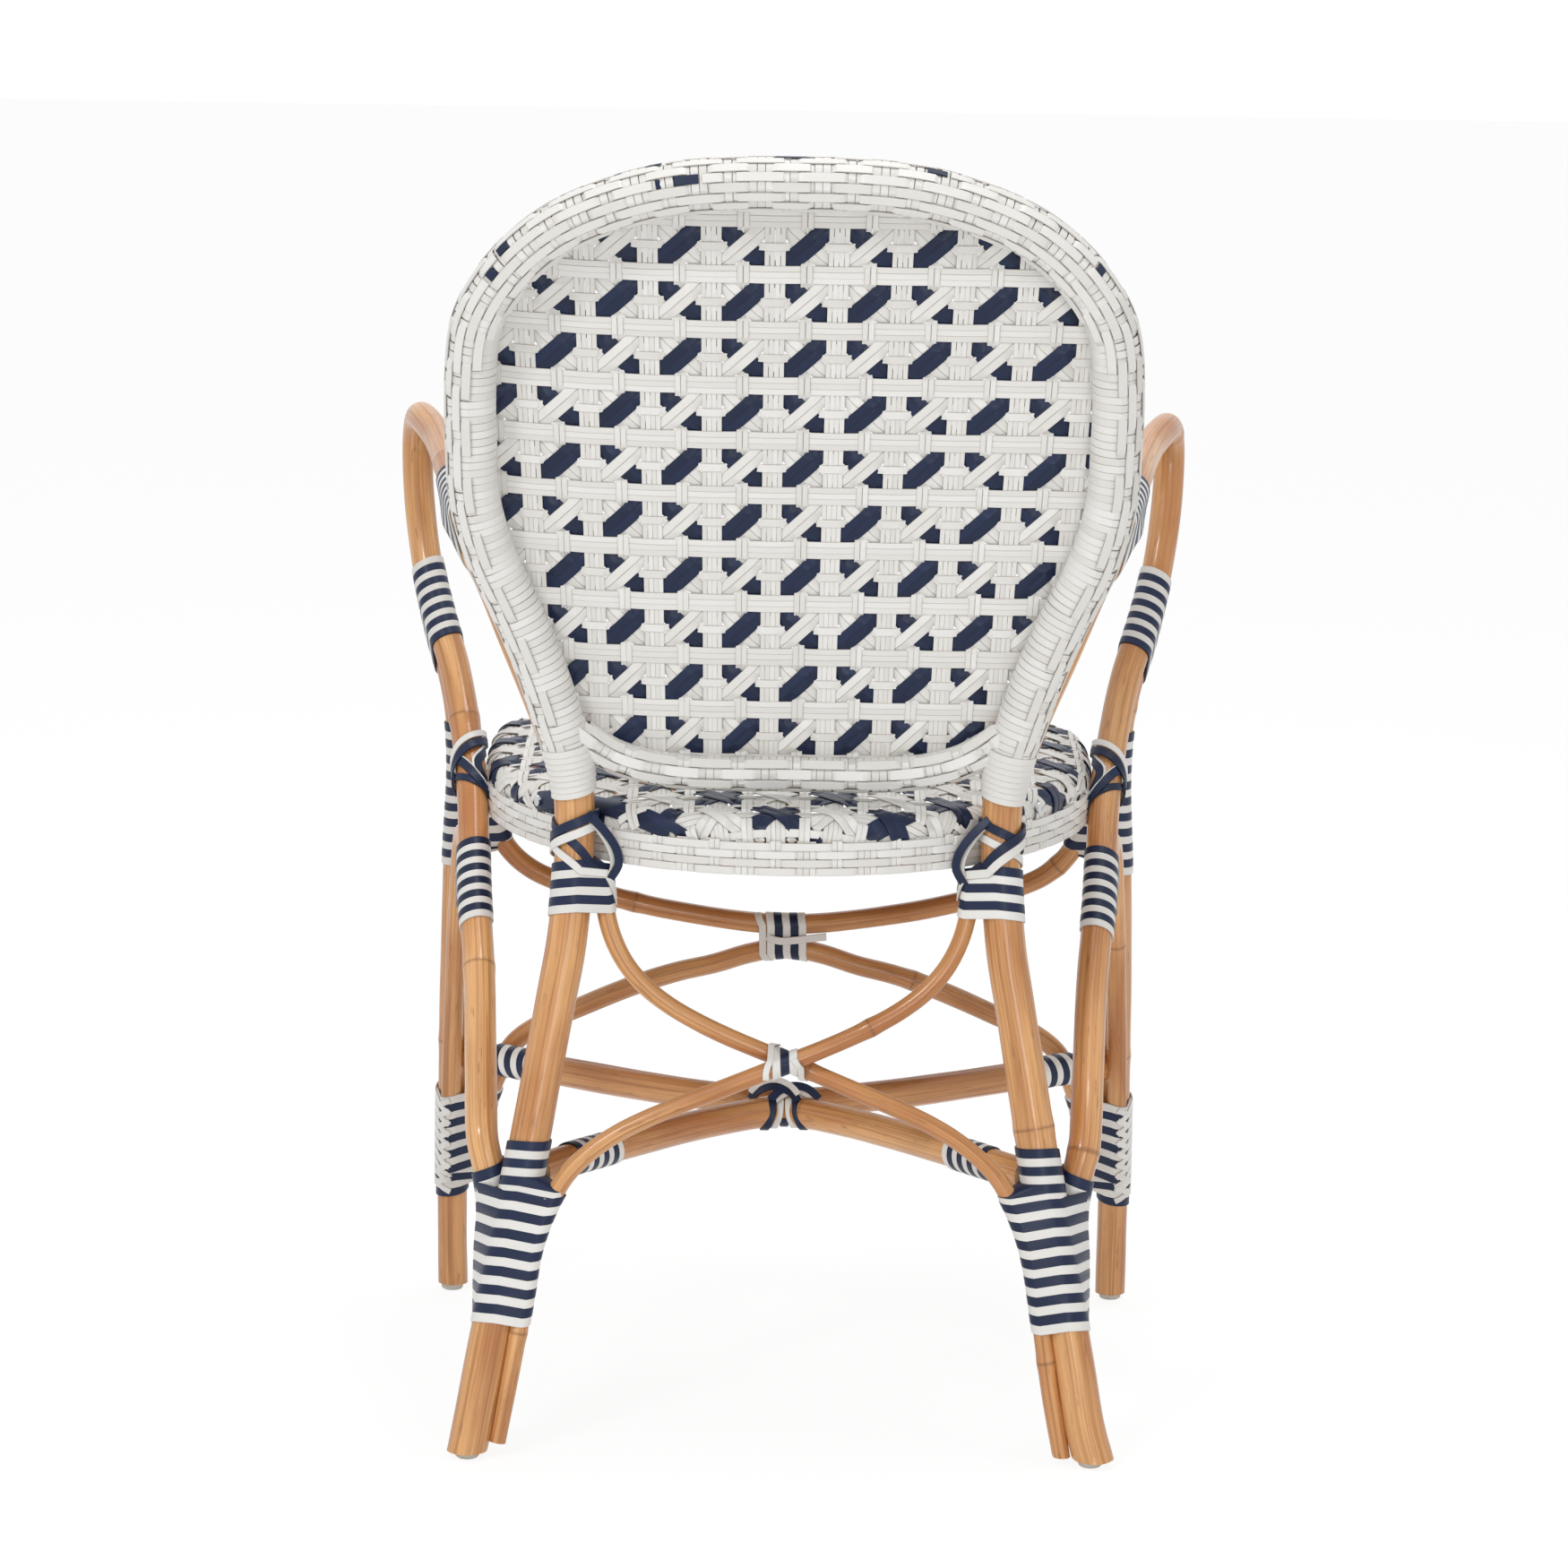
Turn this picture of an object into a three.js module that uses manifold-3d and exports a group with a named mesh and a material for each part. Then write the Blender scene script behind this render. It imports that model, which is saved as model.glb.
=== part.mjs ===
// A rattan bistro armchair: bent poles lashed together, with a woven seat and back.
// Millimetres, +Z up. The front of the chair faces -Y and the floor is at z = 0.
// Paired pieces are named left and right as the sitter has them: left is at +X.
import * as THREE from 'three';
import { mergeVertices } from 'three/addons/utils/BufferGeometryUtils.js';
import Module from 'manifold-3d';

const wasm = await Module();
wasm.setup();

// Seat
const seatHeight = 452;
const seatHalfWidth = 222;
const seatFrontReach = 142;
const seatRearReach = 296;
const seatMiddleY = -80;
const seatRimHeight = 45;
const seatCrown = 9;
const weaveThickness = 2.6;
const apronBulge = 0.8;
const seatRingDiameter = 22;
const apronHoopDiameter = 11;
const bearerDiameter = 18;
// how square the outline of the seat is, where 2 is an ellipse
const seatFrontSquarenessShare = 5.5;
const seatRearSquarenessShare = 2.1;

// Back
const hoopPoleDiameter = 28;
const hoopHalfWidth = 217;
const hoopRise = 432;
const backLeanAngle = THREE.MathUtils.degToRad(12.2);
const postHalfSpacing = 148;
const borderWeaveThickness = 4.8;
const railDiameter = 18;
const railWeaveThickness = 3.4;
const railRise = 19;
const railEndRise = 53;
const panelThickness = 2.4;
const panelForward = 13;

// Feet
const rearFootHalfSpacing = 217;
const rearFootY = 245;
const frontFootHalfSpacing = 252.5;
const frontFootY = -205;

// Arms
const armPoleDiameter = 22.5;
const armHeight = 681;
const armHalfSpread = 278;
const armFrontY = -150;
const armTipHalfSpacing = 223.5;
const armTipY = 136;
const armTipDrop = 40;
const armPoleSeatY = -16;
const armPoleFootHeight = 89;
const armPoleLeaveHeight = 176;
const armUprightDiameter = 17;
// where the upright meets the arm and where it ends, as shares of the arm pole's length
const armUprightMeetShare = 0.965;
const armUprightEndShare = 0.915;

// Front legs and the arcs and stretchers between the legs
const frontLegDiameter = 22.5;
const frontLegSeatRoom = 9;
const frontLegSeatY = -128;
const arcDiameter = 15;
const frontArcDrop = 153;
const arcsApart = 3.5;
const arcFootHeight = 96;
const sideArchFootHeight = 104;
const sideArchCrestDrop = 69;
const sideArchMeetDrop = 59.5;
const sideArchEndDrop = 91.5;
const sideArchLeanOut = 5;
const braceDiameter = 12.5;
const braceCentreHeight = 273;
const braceMeetHeight = 154;
const stretcherDiameter = 22;
const frontStretcherHeight = 194;
const rearStretcherHeight = 195;

// Lashings: a pair of strips side by side goes round as one turn
const turnPitch = 12.6;
const turnWidth = 11.5;
const stripThickness = 1.5;
const rearFootLashingHeight = 91.4;
const rearFootLashingRoom = 1.5;
const frontFootLashingHeight = 75.4;
const frontFootLashingRoom = 11.1;
const postLashingDrop = 87;
const postLashingTopDrop = 16;
const postWrapRise = 3;
const postWrapTopRise = 32;
const frontSeatLashingDrop = 109.7;
const frontSeatLashingTopRise = 9;
const underSeatLashingDrop = 113.5;
const underSeatLashingTopDrop = 62.5;
const seatSideLashingDrop = 41;

// Small fittings
const glideHeight = 5;
const glideDiameter = 17;
const glidePinDiameter = 4;
const glidePinLength = 14;
const screwHeadDiameter = 8;
const screwHeadHeight = 2.5;
const screwShankDiameter = 4;
const screwLength = 24;
const postScrewHalfSpacing = 176;

// Clearances
const gap = 0.3;
const touch = 0.5;
const lashingGap = 0.6;
const lashingRoom = 2 * stripThickness + lashingGap;
const footPolesApart = 1.3;
const overrun = 30;

// Faces of the swept poles and turns, and how finely outlines and gaps are looked at
const poleSideCount = 10;
const arcSideCount = 8;
const seatSideCount = 40;
const latheSideCount = 10;
const turnSideCount = 8;
const gaugeCount = 4;
const outlineLookCount = 360;
const settlingRoundCount = 20;

const hoopRadius = hoopPoleDiameter / 2;
const armPoleRadius = armPoleDiameter / 2;
const frontLegRadius = frontLegDiameter / 2;
const arcRadius = arcDiameter / 2;
const braceRadius = braceDiameter / 2;
const stretcherRadius = stretcherDiameter / 2;
const armUprightRadius = armUprightDiameter / 2;
const frontArcCentreHeight = seatHeight - frontArcDrop;
const frontArchCentreHeight = frontArcCentreHeight - arcDiameter - arcsApart;

const rattan = { color: 0xdca66c, roughness: 0.38, metalness: 0 };
const paleWeave = { color: 0xe6e6e0, roughness: 0.55, metalness: 0 };
const navyStrip = { color: 0x2b3852, roughness: 0.45, metalness: 0 };
const palePlastic = { color: 0xd9d5ca, roughness: 0.6, metalness: 0 };
const steel = { color: 0xb9bcc0, roughness: 0.3, metalness: 1 };

const chair = new THREE.Group();
const leastGaps = [];

const lerp = THREE.MathUtils.lerp;
const point = (x, y, z) => new THREE.Vector3(x, y, z);

function addPiece(name, solid, finish) {
  const mesh = new THREE.Mesh(geometryOf(solid), new THREE.MeshStandardMaterial(finish));
  mesh.name = name;
  chair.add(mesh);
}

// Solids to and from the library that cuts them
function solidOf(geometry) {
  const bare = geometry.clone();
  bare.deleteAttribute('normal');
  bare.deleteAttribute('uv');
  const merged = mergeVertices(bare);
  const vertProperties = new Float32Array(merged.attributes.position.array);
  const triVerts = new Uint32Array(merged.index.array);
  if (signedVolume(vertProperties, triVerts) < 0) {
    for (let i = 0; i < triVerts.length; i += 3) {
      [triVerts[i], triVerts[i + 1]] = [triVerts[i + 1], triVerts[i]];
    }
  }
  return new wasm.Manifold(new wasm.Mesh({ numProp: 3, vertProperties, triVerts }));
}

function signedVolume(positions, corners) {
  const [a, b, c] = [new THREE.Vector3(), new THREE.Vector3(), new THREE.Vector3()];
  let sum = 0;
  for (let i = 0; i < corners.length; i += 3) {
    a.fromArray(positions, 3 * corners[i]);
    b.fromArray(positions, 3 * corners[i + 1]);
    c.fromArray(positions, 3 * corners[i + 2]);
    sum += a.dot(b.cross(c)) / 6;
  }
  return sum;
}

function geometryOf(solid) {
  const mesh = solid.getMesh();
  const geometry = new THREE.BufferGeometry();
  geometry.setAttribute('position', new THREE.BufferAttribute(mesh.vertProperties, 3));
  geometry.setIndex(new THREE.BufferAttribute(mesh.triVerts, 1));
  geometry.computeVertexNormals();
  return geometry;
}

// The largest body that a cut leaves
function largestPiece(solid) {
  const pieces = solid.decompose();
  return pieces.reduce((best, piece) => (piece.volume() > best.volume() ? piece : best));
}

// Poles
function makePole(points, diameter, steps, sides = poleSideCount) {
  const curve = new THREE.CatmullRomCurve3(points, false, 'centripetal');
  return { curve, radius: diameter / 2, steps, sides, stations: curve.getSpacedPoints(steps) };
}

function mirrored(points) {
  return points.map((p) => point(-p.x, p.y, p.z));
}

function sweep(pole, radius) {
  const section = new THREE.Shape();
  section.absarc(0, 0, radius, 0, 2 * Math.PI);
  return solidOf(new THREE.ExtrudeGeometry(section, {
    steps: pole.steps,
    curveSegments: pole.sides / 2,
    bevelEnabled: false,
    extrudePath: pole.curve,
  }));
}

const poleSolid = (pole) => sweep(pole, pole.radius);
// wide enough that its flat sides keep the room too
const roomy = (radius, sides) => radius / Math.cos(Math.PI / sides);
const poleTool = (pole, room = gap) => sweep(pole, roomy(pole.radius + room, pole.sides));

function cut(solid, tools) {
  return largestPiece(tools.reduce((rest, tool) => rest.subtract(tool), solid));
}

// A pole end whittled to lie against the poles it meets
function cope(solid, poles) {
  const tools = poles.map((pole) => poleTool(pole));
  return cut(solid, tools.filter((tool) => solid.intersect(tool).volume() > 0));
}

// Where the pole's centre line passes through a plane, nearest to the plane's own point.
// The first and last stretches may be followed for some way past the pole's ends.
function passes(pole, planePoint, axis, past = 0) {
  let best = null;
  const last = pole.stations.length - 2;
  for (let i = 0; i <= last; i += 1) {
    const start = pole.stations[i].clone();
    const end = pole.stations[i + 1].clone();
    const along = end.clone().sub(start).normalize();
    if (i === 0) start.addScaledVector(along, -past);
    if (i === last) end.addScaledVector(along, past);
    const before = start.clone().sub(planePoint).dot(axis);
    const after = end.clone().sub(planePoint).dot(axis);
    if (before * after <= 0 && before !== after) {
      const centre = start.clone().lerp(end, before / (before - after));
      const slant = Math.abs(along.dot(axis));
      const away = centre.distanceTo(planePoint);
      if (best === null || away < best.away) best = { centre, slant, away };
    }
  }
  return best;
}

const up = point(0, 0, 1);
const across = point(1, 0, 0);
const atHeight = (pole, z, near = point(0, 0, 0)) => passes(pole, point(near.x, near.y, z), up).centre;

// Lashings
// The convex outline round the poles of a bundle. Each corner lies outside one pole, in a
// direction whose angle is counted from the side, and the corners follow that angle.
function bundleOutline(bundle, centre, axis, side, out) {
  const circles = [];
  for (const pole of bundle) {
    const found = passes(pole, centre, axis);
    const offset = found === null ? null : found.centre.clone().sub(centre);
    if (offset !== null && offset.length() < overrun) {
      circles.push({ pole, x: offset.dot(side), y: offset.dot(out), r: pole.radius / found.slant });
    }
  }
  const look = (2 * Math.PI) / outlineLookCount;
  const reach = (circle, angle) => circle.x * Math.cos(angle) + circle.y * Math.sin(angle) + circle.r;
  const owners = [];
  for (let i = 0; i < outlineLookCount; i += 1) {
    owners.push(circles.reduce((best, c) => (reach(c, i * look) > reach(best, i * look) ? c : best)));
  }
  const outline = [];
  let from = 0;
  for (let i = 1; i <= outlineLookCount; i += 1) {
    if (i === outlineLookCount || owners[i] !== owners[from]) {
      outline.push(...splitArc(owners[from].pole, from * look, i * look));
      from = i;
    }
  }
  return outline;
}

// Corners of the tangents round an arc of one pole
function splitArc(pole, from, to) {
  const corners = Math.max(1, Math.round((turnSideCount * (to - from)) / (2 * Math.PI)));
  const step = (to - from) / corners;
  const found = [];
  for (let i = 0; i < corners; i += 1) {
    found.push({ pole, angle: from + (i + 0.5) * step, stretch: 1 / Math.cos(step / 2) });
  }
  return found;
}

// One unbroken strip wound round a bundle from one point of a pole to another
function lashing(name, bundle, from, to, finish) {
  const axis = to.clone().sub(from).normalize();
  const lies = Math.abs(axis.x) > Math.SQRT1_2;
  const hand = lies ? 1 : Math.sign(from.x);
  const side = lies ? up.clone() : across.clone().multiplyScalar(hand);
  side.addScaledVector(axis, -side.dot(axis)).normalize();
  const out = axis.clone().cross(side).multiplyScalar(hand);
  const turns = Math.max(1, Math.floor((from.distanceTo(to) - turnWidth) / turnPitch));
  const start = (from.distanceTo(to) - turns * turnPitch) / 2;
  const spine = [];
  for (let turn = 0; turn < turns; turn += 1) {
    const middle = from.clone().addScaledVector(axis, start + (turn + 0.5) * turnPitch);
    for (const { pole, angle, stretch } of bundleOutline(bundle, middle, axis, side, out)) {
      const along = start + (turn + angle / (2 * Math.PI)) * turnPitch;
      const outward = side.clone().multiplyScalar(Math.cos(angle)).addScaledVector(out, Math.sin(angle));
      const onPole = (step, height) => {
        const plane = from.clone().addScaledVector(axis, along + step);
        const found = passes(pole, plane, axis, overrun);
        const reach = pole.radius / found.slant + lashingGap + height;
        return found.centre.addScaledVector(outward, reach * stretch);
      };
      spine.push({
        lower: onPole(-turnWidth / 2, 0),
        upper: onPole(turnWidth / 2, 0),
        crest: onPole(0, stripThickness),
        along,
      });
    }
  }
  leastGaps.push({ name, least: leastGapToItself(spine) });
  let strip = stripSolid(spine);
  for (const tool of bundle.map((pole) => sweep(pole, pole.radius + gap / 2))) {
    if (strip.intersect(tool).volume() > 0) strip = largestPiece(strip.subtract(tool));
  }
  addPiece(name, strip, finish);
}

// A strip of three edges: two on the poles and a crest between them
function stripSolid(spine) {
  const positions = [];
  const corners = [];
  for (const { lower, upper, crest } of spine) {
    positions.push(...lower.toArray(), ...upper.toArray(), ...crest.toArray());
  }
  const edges = 3;
  for (let i = 0; i < spine.length - 1; i += 1) {
    for (let j = 0; j < edges; j += 1) {
      const a = edges * i + j;
      const b = edges * i + ((j + 1) % edges);
      corners.push(a, b, b + edges, a, b + edges, a + edges);
    }
  }
  const last = edges * (spine.length - 1);
  corners.push(0, 2, 1, last, last + 1, last + 2);
  const geometry = new THREE.BufferGeometry();
  geometry.setAttribute('position', new THREE.Float32BufferAttribute(positions, 3));
  geometry.setIndex(corners);
  return solidOf(geometry);
}

// The least gap between one turn's upper edge and the next turn's lower edge
function leastGapToItself(spine) {
  const gaugePoints = (edge) => spine.slice(1).flatMap((corner, i) => {
    const gauges = [];
    for (let j = 0; j < gaugeCount; j += 1) {
      const share = j / gaugeCount;
      const along = lerp(spine[i].along, corner.along, share);
      gauges.push({ at: spine[i][edge].clone().lerp(corner[edge], share), along });
    }
    return gauges;
  });
  const upper = gaugePoints('upper');
  const lower = gaugePoints('lower');
  let least = Infinity;
  for (const a of upper) {
    for (const b of lower) {
      if (b.along - a.along > turnPitch / 2) least = Math.min(least, a.at.distanceTo(b.at));
    }
  }
  return least;
}

// The outline of the seat, on which inset is how far inside the edge a loop lies
function seatEdge(turn, inset = 0) {
  const c = Math.cos(turn);
  const s = Math.sin(turn);
  const square = s > 0 ? seatRearSquarenessShare : seatFrontSquarenessShare;
  const reach = s > 0 ? seatRearReach : seatFrontReach;
  const x = seatHalfWidth * Math.sign(c) * Math.abs(c) ** (2 / square);
  const y = seatMiddleY + reach * Math.sign(s) * Math.abs(s) ** (2 / square);
  const nx = Math.sign(c) * Math.abs(c) ** (2 - 2 / square) / seatHalfWidth;
  const ny = Math.sign(s) * Math.abs(s) ** (2 - 2 / square) / reach;
  const length = Math.hypot(nx, ny);
  return new THREE.Vector2(x - (inset * nx) / length, y - (inset * ny) / length);
}

// Points round the seat at even turns, which keeps loops of any inset side by side
function seatLoop(count, inset = 0) {
  const loop = [];
  for (let i = 0; i < count; i += 1) {
    const corner = seatEdge((2 * Math.PI * (i + 0.5)) / count, inset);
    loop.push(point(corner.x, corner.y, 0));
  }
  return loop;
}

function seatHalfWidthAt(y) {
  const rear = y > seatMiddleY;
  const square = rear ? seatRearSquarenessShare : seatFrontSquarenessShare;
  const reach = rear ? seatRearReach : seatFrontReach;
  return seatHalfWidth * (1 - Math.abs((y - seatMiddleY) / reach) ** square) ** (1 / square);
}

// The edge point of the seat's rear at a half width, with the direction out of the seat
function seatRearEdgeAt(x) {
  const share = x / seatHalfWidth;
  const rise = (1 - share ** seatRearSquarenessShare) ** (1 / seatRearSquarenessShare);
  const nx = share ** (seatRearSquarenessShare - 1) / seatHalfWidth;
  const ny = rise ** (seatRearSquarenessShare - 1) / seatRearReach;
  const length = Math.hypot(nx, ny);
  return { x, y: seatMiddleY + seatRearReach * rise, nx: nx / length, ny: ny / length };
}

// The post stands against the edge: its centre is found from the edge point it touches
function rearPostY() {
  let edgeX = postHalfSpacing;
  for (let i = 0; i < settlingRoundCount; i += 1) {
    edgeX = postHalfSpacing - seatRearEdgeAt(edgeX).nx * (hoopRadius + touch);
  }
  const edge = seatRearEdgeAt(edgeX);
  return edge.y + edge.ny * (hoopRadius + touch);
}

const postY = rearPostY();
const backPlaneY = (z) => postY + (z - seatHeight) * Math.tan(backLeanAngle);

// Hoop and rear legs: one pole bent from foot to foot
// each row: share from the post's spacing to the foot's, share of the seat height
const rearLegShares = [
  [1.03, -0.03], [0.78, 0.177], [0.42, 0.463], [0.225, 0.636], [0.035, 0.812], [0, 0.99],
];
// each row: share of the hoop's half width, share of the hoop's rise
const hoopShares = [
  [0.705, 0.086], [0.758, 0.172], [0.818, 0.26], [0.895, 0.349], [0.95, 0.412], [0.987, 0.481], [1, 0.586],
  [1, 0.69], [0.988, 0.76], [0.952, 0.81], [0.895, 0.853], [0.81, 0.893], [0.76, 0.917], [0.65, 0.946],
  [0.488, 0.978], [0.275, 0.996],
];

function hoopPoints() {
  const leg = rearLegShares.map(([splay, height]) => point(
    lerp(postHalfSpacing, rearFootHalfSpacing, splay),
    lerp(postY, rearFootY, 1 - Math.max(height, 0)),
    height * seatHeight,
  ));
  const side = hoopShares.map(([width, height]) => {
    const z = seatHeight + height * hoopRise;
    return point(width * hoopHalfWidth, backPlaneY(z), z);
  });
  const half = [...leg, ...side];
  const topZ = seatHeight + hoopRise;
  return [...half, point(0, backPlaneY(topZ), topZ), ...mirrored(half).reverse()];
}

const hoop = makePole(hoopPoints(), hoopPoleDiameter, 52);
const rearFoot = point(rearFootHalfSpacing, rearFootY, 0);
const rearLegAt = (z) => atHeight(hoop, z, rearFoot);

// Arm poles: up from the rear leg's lashing, past the seat's side, over the bend and back to the tip
// turns of the arm pole round the rear leg, from its foot to where it leaves the leg
const armPoleFootTurn = THREE.MathUtils.degToRad(-85);
const armPoleLeaveTurn = THREE.MathUtils.degToRad(-48);
// shares of the way from the foot to where it leaves the leg
const armPoleLashedShares = [0, 0.5, 1];
// each row: share of the half width at the seat, share of the way from the rear foot to the seat's
// side, share of the height
const armPoleLowerShares = [
  [0.909, 0.2, 0.465], [0.927, 0.365, 0.562], [0.945, 0.563, 0.684], [0.974, 0.755, 0.8],
];
// each row: share of the spread from seat to arm, share forward to the arm's front, share of the
// arm's rise
const armPoleUpperShares = [
  [0.3, 0.44, 0.196], [0.56, 0.627, 0.348], [0.8, 0.813, 0.509], [0.95, 0.94, 0.7], [1, 1, 0.84],
];
// each row: share of the spread from tip to front, share from the front to the tip, share of the drop
const armrestShares = [
  [1, 0, 0.5], [0.97, 0.035, 0.12], [0.88, 0.13, 0], [0.75, 0.215, 0.07], [0.61, 0.315, 0.2],
  [0.38, 0.594, 0.48], [0.2, 0.804, 0.78], [0, 1, 1],
];

const armPoleSeatX = seatHalfWidthAt(armPoleSeatY) + armPoleRadius + touch;
const armPoleSeat = point(armPoleSeatX, armPoleSeatY, 0);

function armPolePoints() {
  const apart = hoopRadius + armPoleRadius + footPolesApart;
  const lashed = armPoleLashedShares.map((share) => {
    const turn = lerp(armPoleFootTurn, armPoleLeaveTurn, share);
    const leg = rearLegAt(lerp(armPoleFootHeight, armPoleLeaveHeight, share));
    return leg.add(point(apart * Math.cos(turn), apart * Math.sin(turn), 0));
  });
  const lower = armPoleLowerShares.map(([width, forward, height]) => point(
    width * armPoleSeatX,
    lerp(rearFootY, armPoleSeatY, forward),
    height * seatHeight,
  ));
  const seatSide = point(armPoleSeatX, armPoleSeatY, seatHeight - seatRimHeight / 2);
  const upper = armPoleUpperShares.map(([spread, forward, height]) => point(
    lerp(armPoleSeatX, armHalfSpread, spread),
    lerp(armPoleSeatY, armFrontY, forward),
    lerp(seatHeight, armHeight, height),
  ));
  const rest = armrestShares.map(([spread, back, drop]) => point(
    lerp(armTipHalfSpacing, armHalfSpread, spread),
    lerp(armFrontY, armTipY, back),
    armHeight - drop * armTipDrop,
  ));
  return [...lashed, ...lower, seatSide, ...upper, ...rest];
}

const armPole = makePole(armPolePoints(), armPoleDiameter, 40);

// Front legs: up past the seat's corner, ending under the arm pole
const frontLegSeatX = seatHalfWidthAt(frontLegSeatY) + frontLegSeatRoom + frontLegRadius;
// share of the arm's rise where the leg meets the pole above it, and where it ends
const frontLegMeetShare = 0.36;
const frontLegEndShare = 0.53;
const frontLegShares = [-0.03, 0.25, 0.5, 0.75];
// the bend between the seat and the meeting, as shares across, back and up
const frontLegBendShares = [0.3, 0.75, 0.55];

function besidePole(pole, z, near, apart, sideways) {
  const found = passes(pole, point(near.x, near.y, z), up);
  const after = passes(pole, point(near.x, near.y, z + turnPitch), up);
  const along = after.centre.clone().sub(found.centre).normalize();
  const away = point(0, -along.z, along.y).normalize();
  if (away.z > 0) away.negate();
  return found.centre.clone().addScaledVector(away, apart).add(point(sideways, 0, 0));
}

function frontLegPoints() {
  const armRise = armHeight - seatHeight;
  const apart = armPoleRadius + frontLegRadius + touch;
  const nearArm = point(armPoleSeatX, armFrontY, 0);
  const meet = besidePole(armPole, seatHeight + frontLegMeetShare * armRise, nearArm, apart, 0);
  const end = besidePole(armPole, seatHeight + frontLegEndShare * armRise, nearArm, apart, 0);
  const lower = frontLegShares.map((share) => point(
    lerp(frontFootHalfSpacing, frontLegSeatX, Math.max(share, 0) ** 2),
    lerp(frontFootY, frontLegSeatY, share),
    share * seatHeight,
  ));
  const seat = point(frontLegSeatX, frontLegSeatY, seatHeight - seatRimHeight / 2);
  const [bendAcross, bendBack, bendUp] = frontLegBendShares;
  const bend = point(
    lerp(seat.x, meet.x, bendAcross),
    lerp(seat.y, meet.y, bendBack),
    lerp(seat.z, meet.z, bendUp),
  );
  return [...lower, seat, bend, meet, end];
}

const frontLeg = makePole(frontLegPoints(), frontLegDiameter, 22);
const frontFoot = point(frontFootHalfSpacing, frontFootY, 0);
const frontLegAt = (z) => atHeight(frontLeg, z, frontFoot);

// Arm uprights: up from the seat's edge, beside the rear post, to the underside of the arm tip
const armUprightFootTurn = THREE.MathUtils.degToRad(-80);
// each row: share from the foot to the arm's tip across, and back, and share of the height
const armUprightShares = [[0.23, 0.1, 0.28], [0.54, 0.3, 0.6], [0.78, 0.55, 0.84]];

function armUprightPoints() {
  const beside = hoopRadius + armUprightRadius + touch;
  const footHeight = seatHeight + 2 * gap;
  const foot = rearLegAt(footHeight).add(point(
    beside * Math.cos(armUprightFootTurn), beside * Math.sin(armUprightFootTurn), 0,
  ));
  const below = point(0, 0, -armPoleRadius - armUprightRadius - touch);
  const underArm = (share) => armPole.curve.getPointAt(share).add(below);
  const nearTip = underArm(armUprightMeetShare);
  const middle = armUprightShares.map(([acrossShare, backShare, height]) => point(
    lerp(foot.x, nearTip.x, acrossShare),
    lerp(foot.y, nearTip.y, backShare),
    lerp(foot.z, nearTip.z, height),
  ));
  return [foot, ...middle, nearTip, underArm(armUprightEndShare)];
}

const armUpright = makePole(armUprightPoints(), armUprightDiameter, 14);

// Front arcs: an upper one from seat corner to seat corner, a lower one down to the front lashings
const insideLeg = frontLegRadius + arcRadius + touch;
const arcTopHeight = seatHeight - seatRimHeight - arcRadius / 2;
const frontArcShares = [[0.36, 0.085], [0.6, 0.2], [0.84, 0.37], [0.945, 0.58], [0.99, 0.83]];
const frontArchShares = [
  [0.25, 0.08], [0.4, 0.13], [0.65, 0.262], [0.865, 0.41], [0.945, 0.6], [0.99, 0.82],
];

// An arc between the front legs: half of it is drawn, and the other half mirrors it
function arcBetweenLegs(centreHeight, endHeight, shares) {
  const end = frontLegAt(endHeight).add(point(-insideLeg, 0, 0));
  const side = shares.map(([width, height]) => {
    const z = lerp(centreHeight, endHeight, height);
    return point(width * end.x, frontLegAt(z).y, z);
  });
  const middle = point(0, frontLegAt(centreHeight).y, centreHeight);
  return [...mirrored([...side, end]).reverse(), middle, ...side, end];
}

const frontArcPoints = arcBetweenLegs(frontArcCentreHeight, arcTopHeight, frontArcShares);
const frontArchPoints = arcBetweenLegs(frontArchCentreHeight, arcFootHeight, frontArchShares);
const frontArc = makePole(frontArcPoints, arcDiameter, 22, arcSideCount);
const frontArch = makePole(frontArchPoints, arcDiameter, 24, arcSideCount);

// Side arches: up from the front leg's lashing, over under the seat and down along the arm pole
const sideArchCrestHeight = seatHeight - sideArchCrestDrop;
// each row: share of the way back from the front leg to the arm pole, share of the height
const sideArchShares = [[0, 0.3], [0.09, 0.55], [0.27, 0.82], [0.52, 1]];

function sideArchPoints() {
  const beside = frontLegRadius + arcRadius + touch;
  const foot = frontLegAt(sideArchFootHeight).add(point(0, beside, 0));
  const apart = armPoleRadius + arcRadius + touch;
  const nearArm = point(armPoleSeatX, 0, 0);
  const meet = besidePole(armPole, seatHeight - sideArchMeetDrop, nearArm, apart, sideArchLeanOut);
  const end = besidePole(armPole, seatHeight - sideArchEndDrop, nearArm, apart, sideArchLeanOut);
  const rise = sideArchShares.map(([back, height]) => {
    const z = lerp(sideArchFootHeight, sideArchCrestHeight, height);
    const leg = frontLegAt(z).add(point(0, beside, 0));
    return point(lerp(leg.x, meet.x, back), lerp(leg.y, meet.y, back), z);
  });
  return [foot, ...rise, meet, end];
}

const sideArch = makePole(sideArchPoints(), arcDiameter, 20, arcSideCount);

// Crossed braces between the rear legs, each ending beside a leg on the floor
const besideLeg = hoopRadius + braceRadius + touch;
const braceMeetTurn = THREE.MathUtils.degToRad(150);
const braceFloorTurn = THREE.MathUtils.degToRad(190);
// shares of the way down from where the brace meets the leg to the floor, the last just past it
const braceLegShares = [0.33, 0.67, 1.06];
const braceTopHeight = seatHeight - seatRimHeight - braceRadius;
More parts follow.
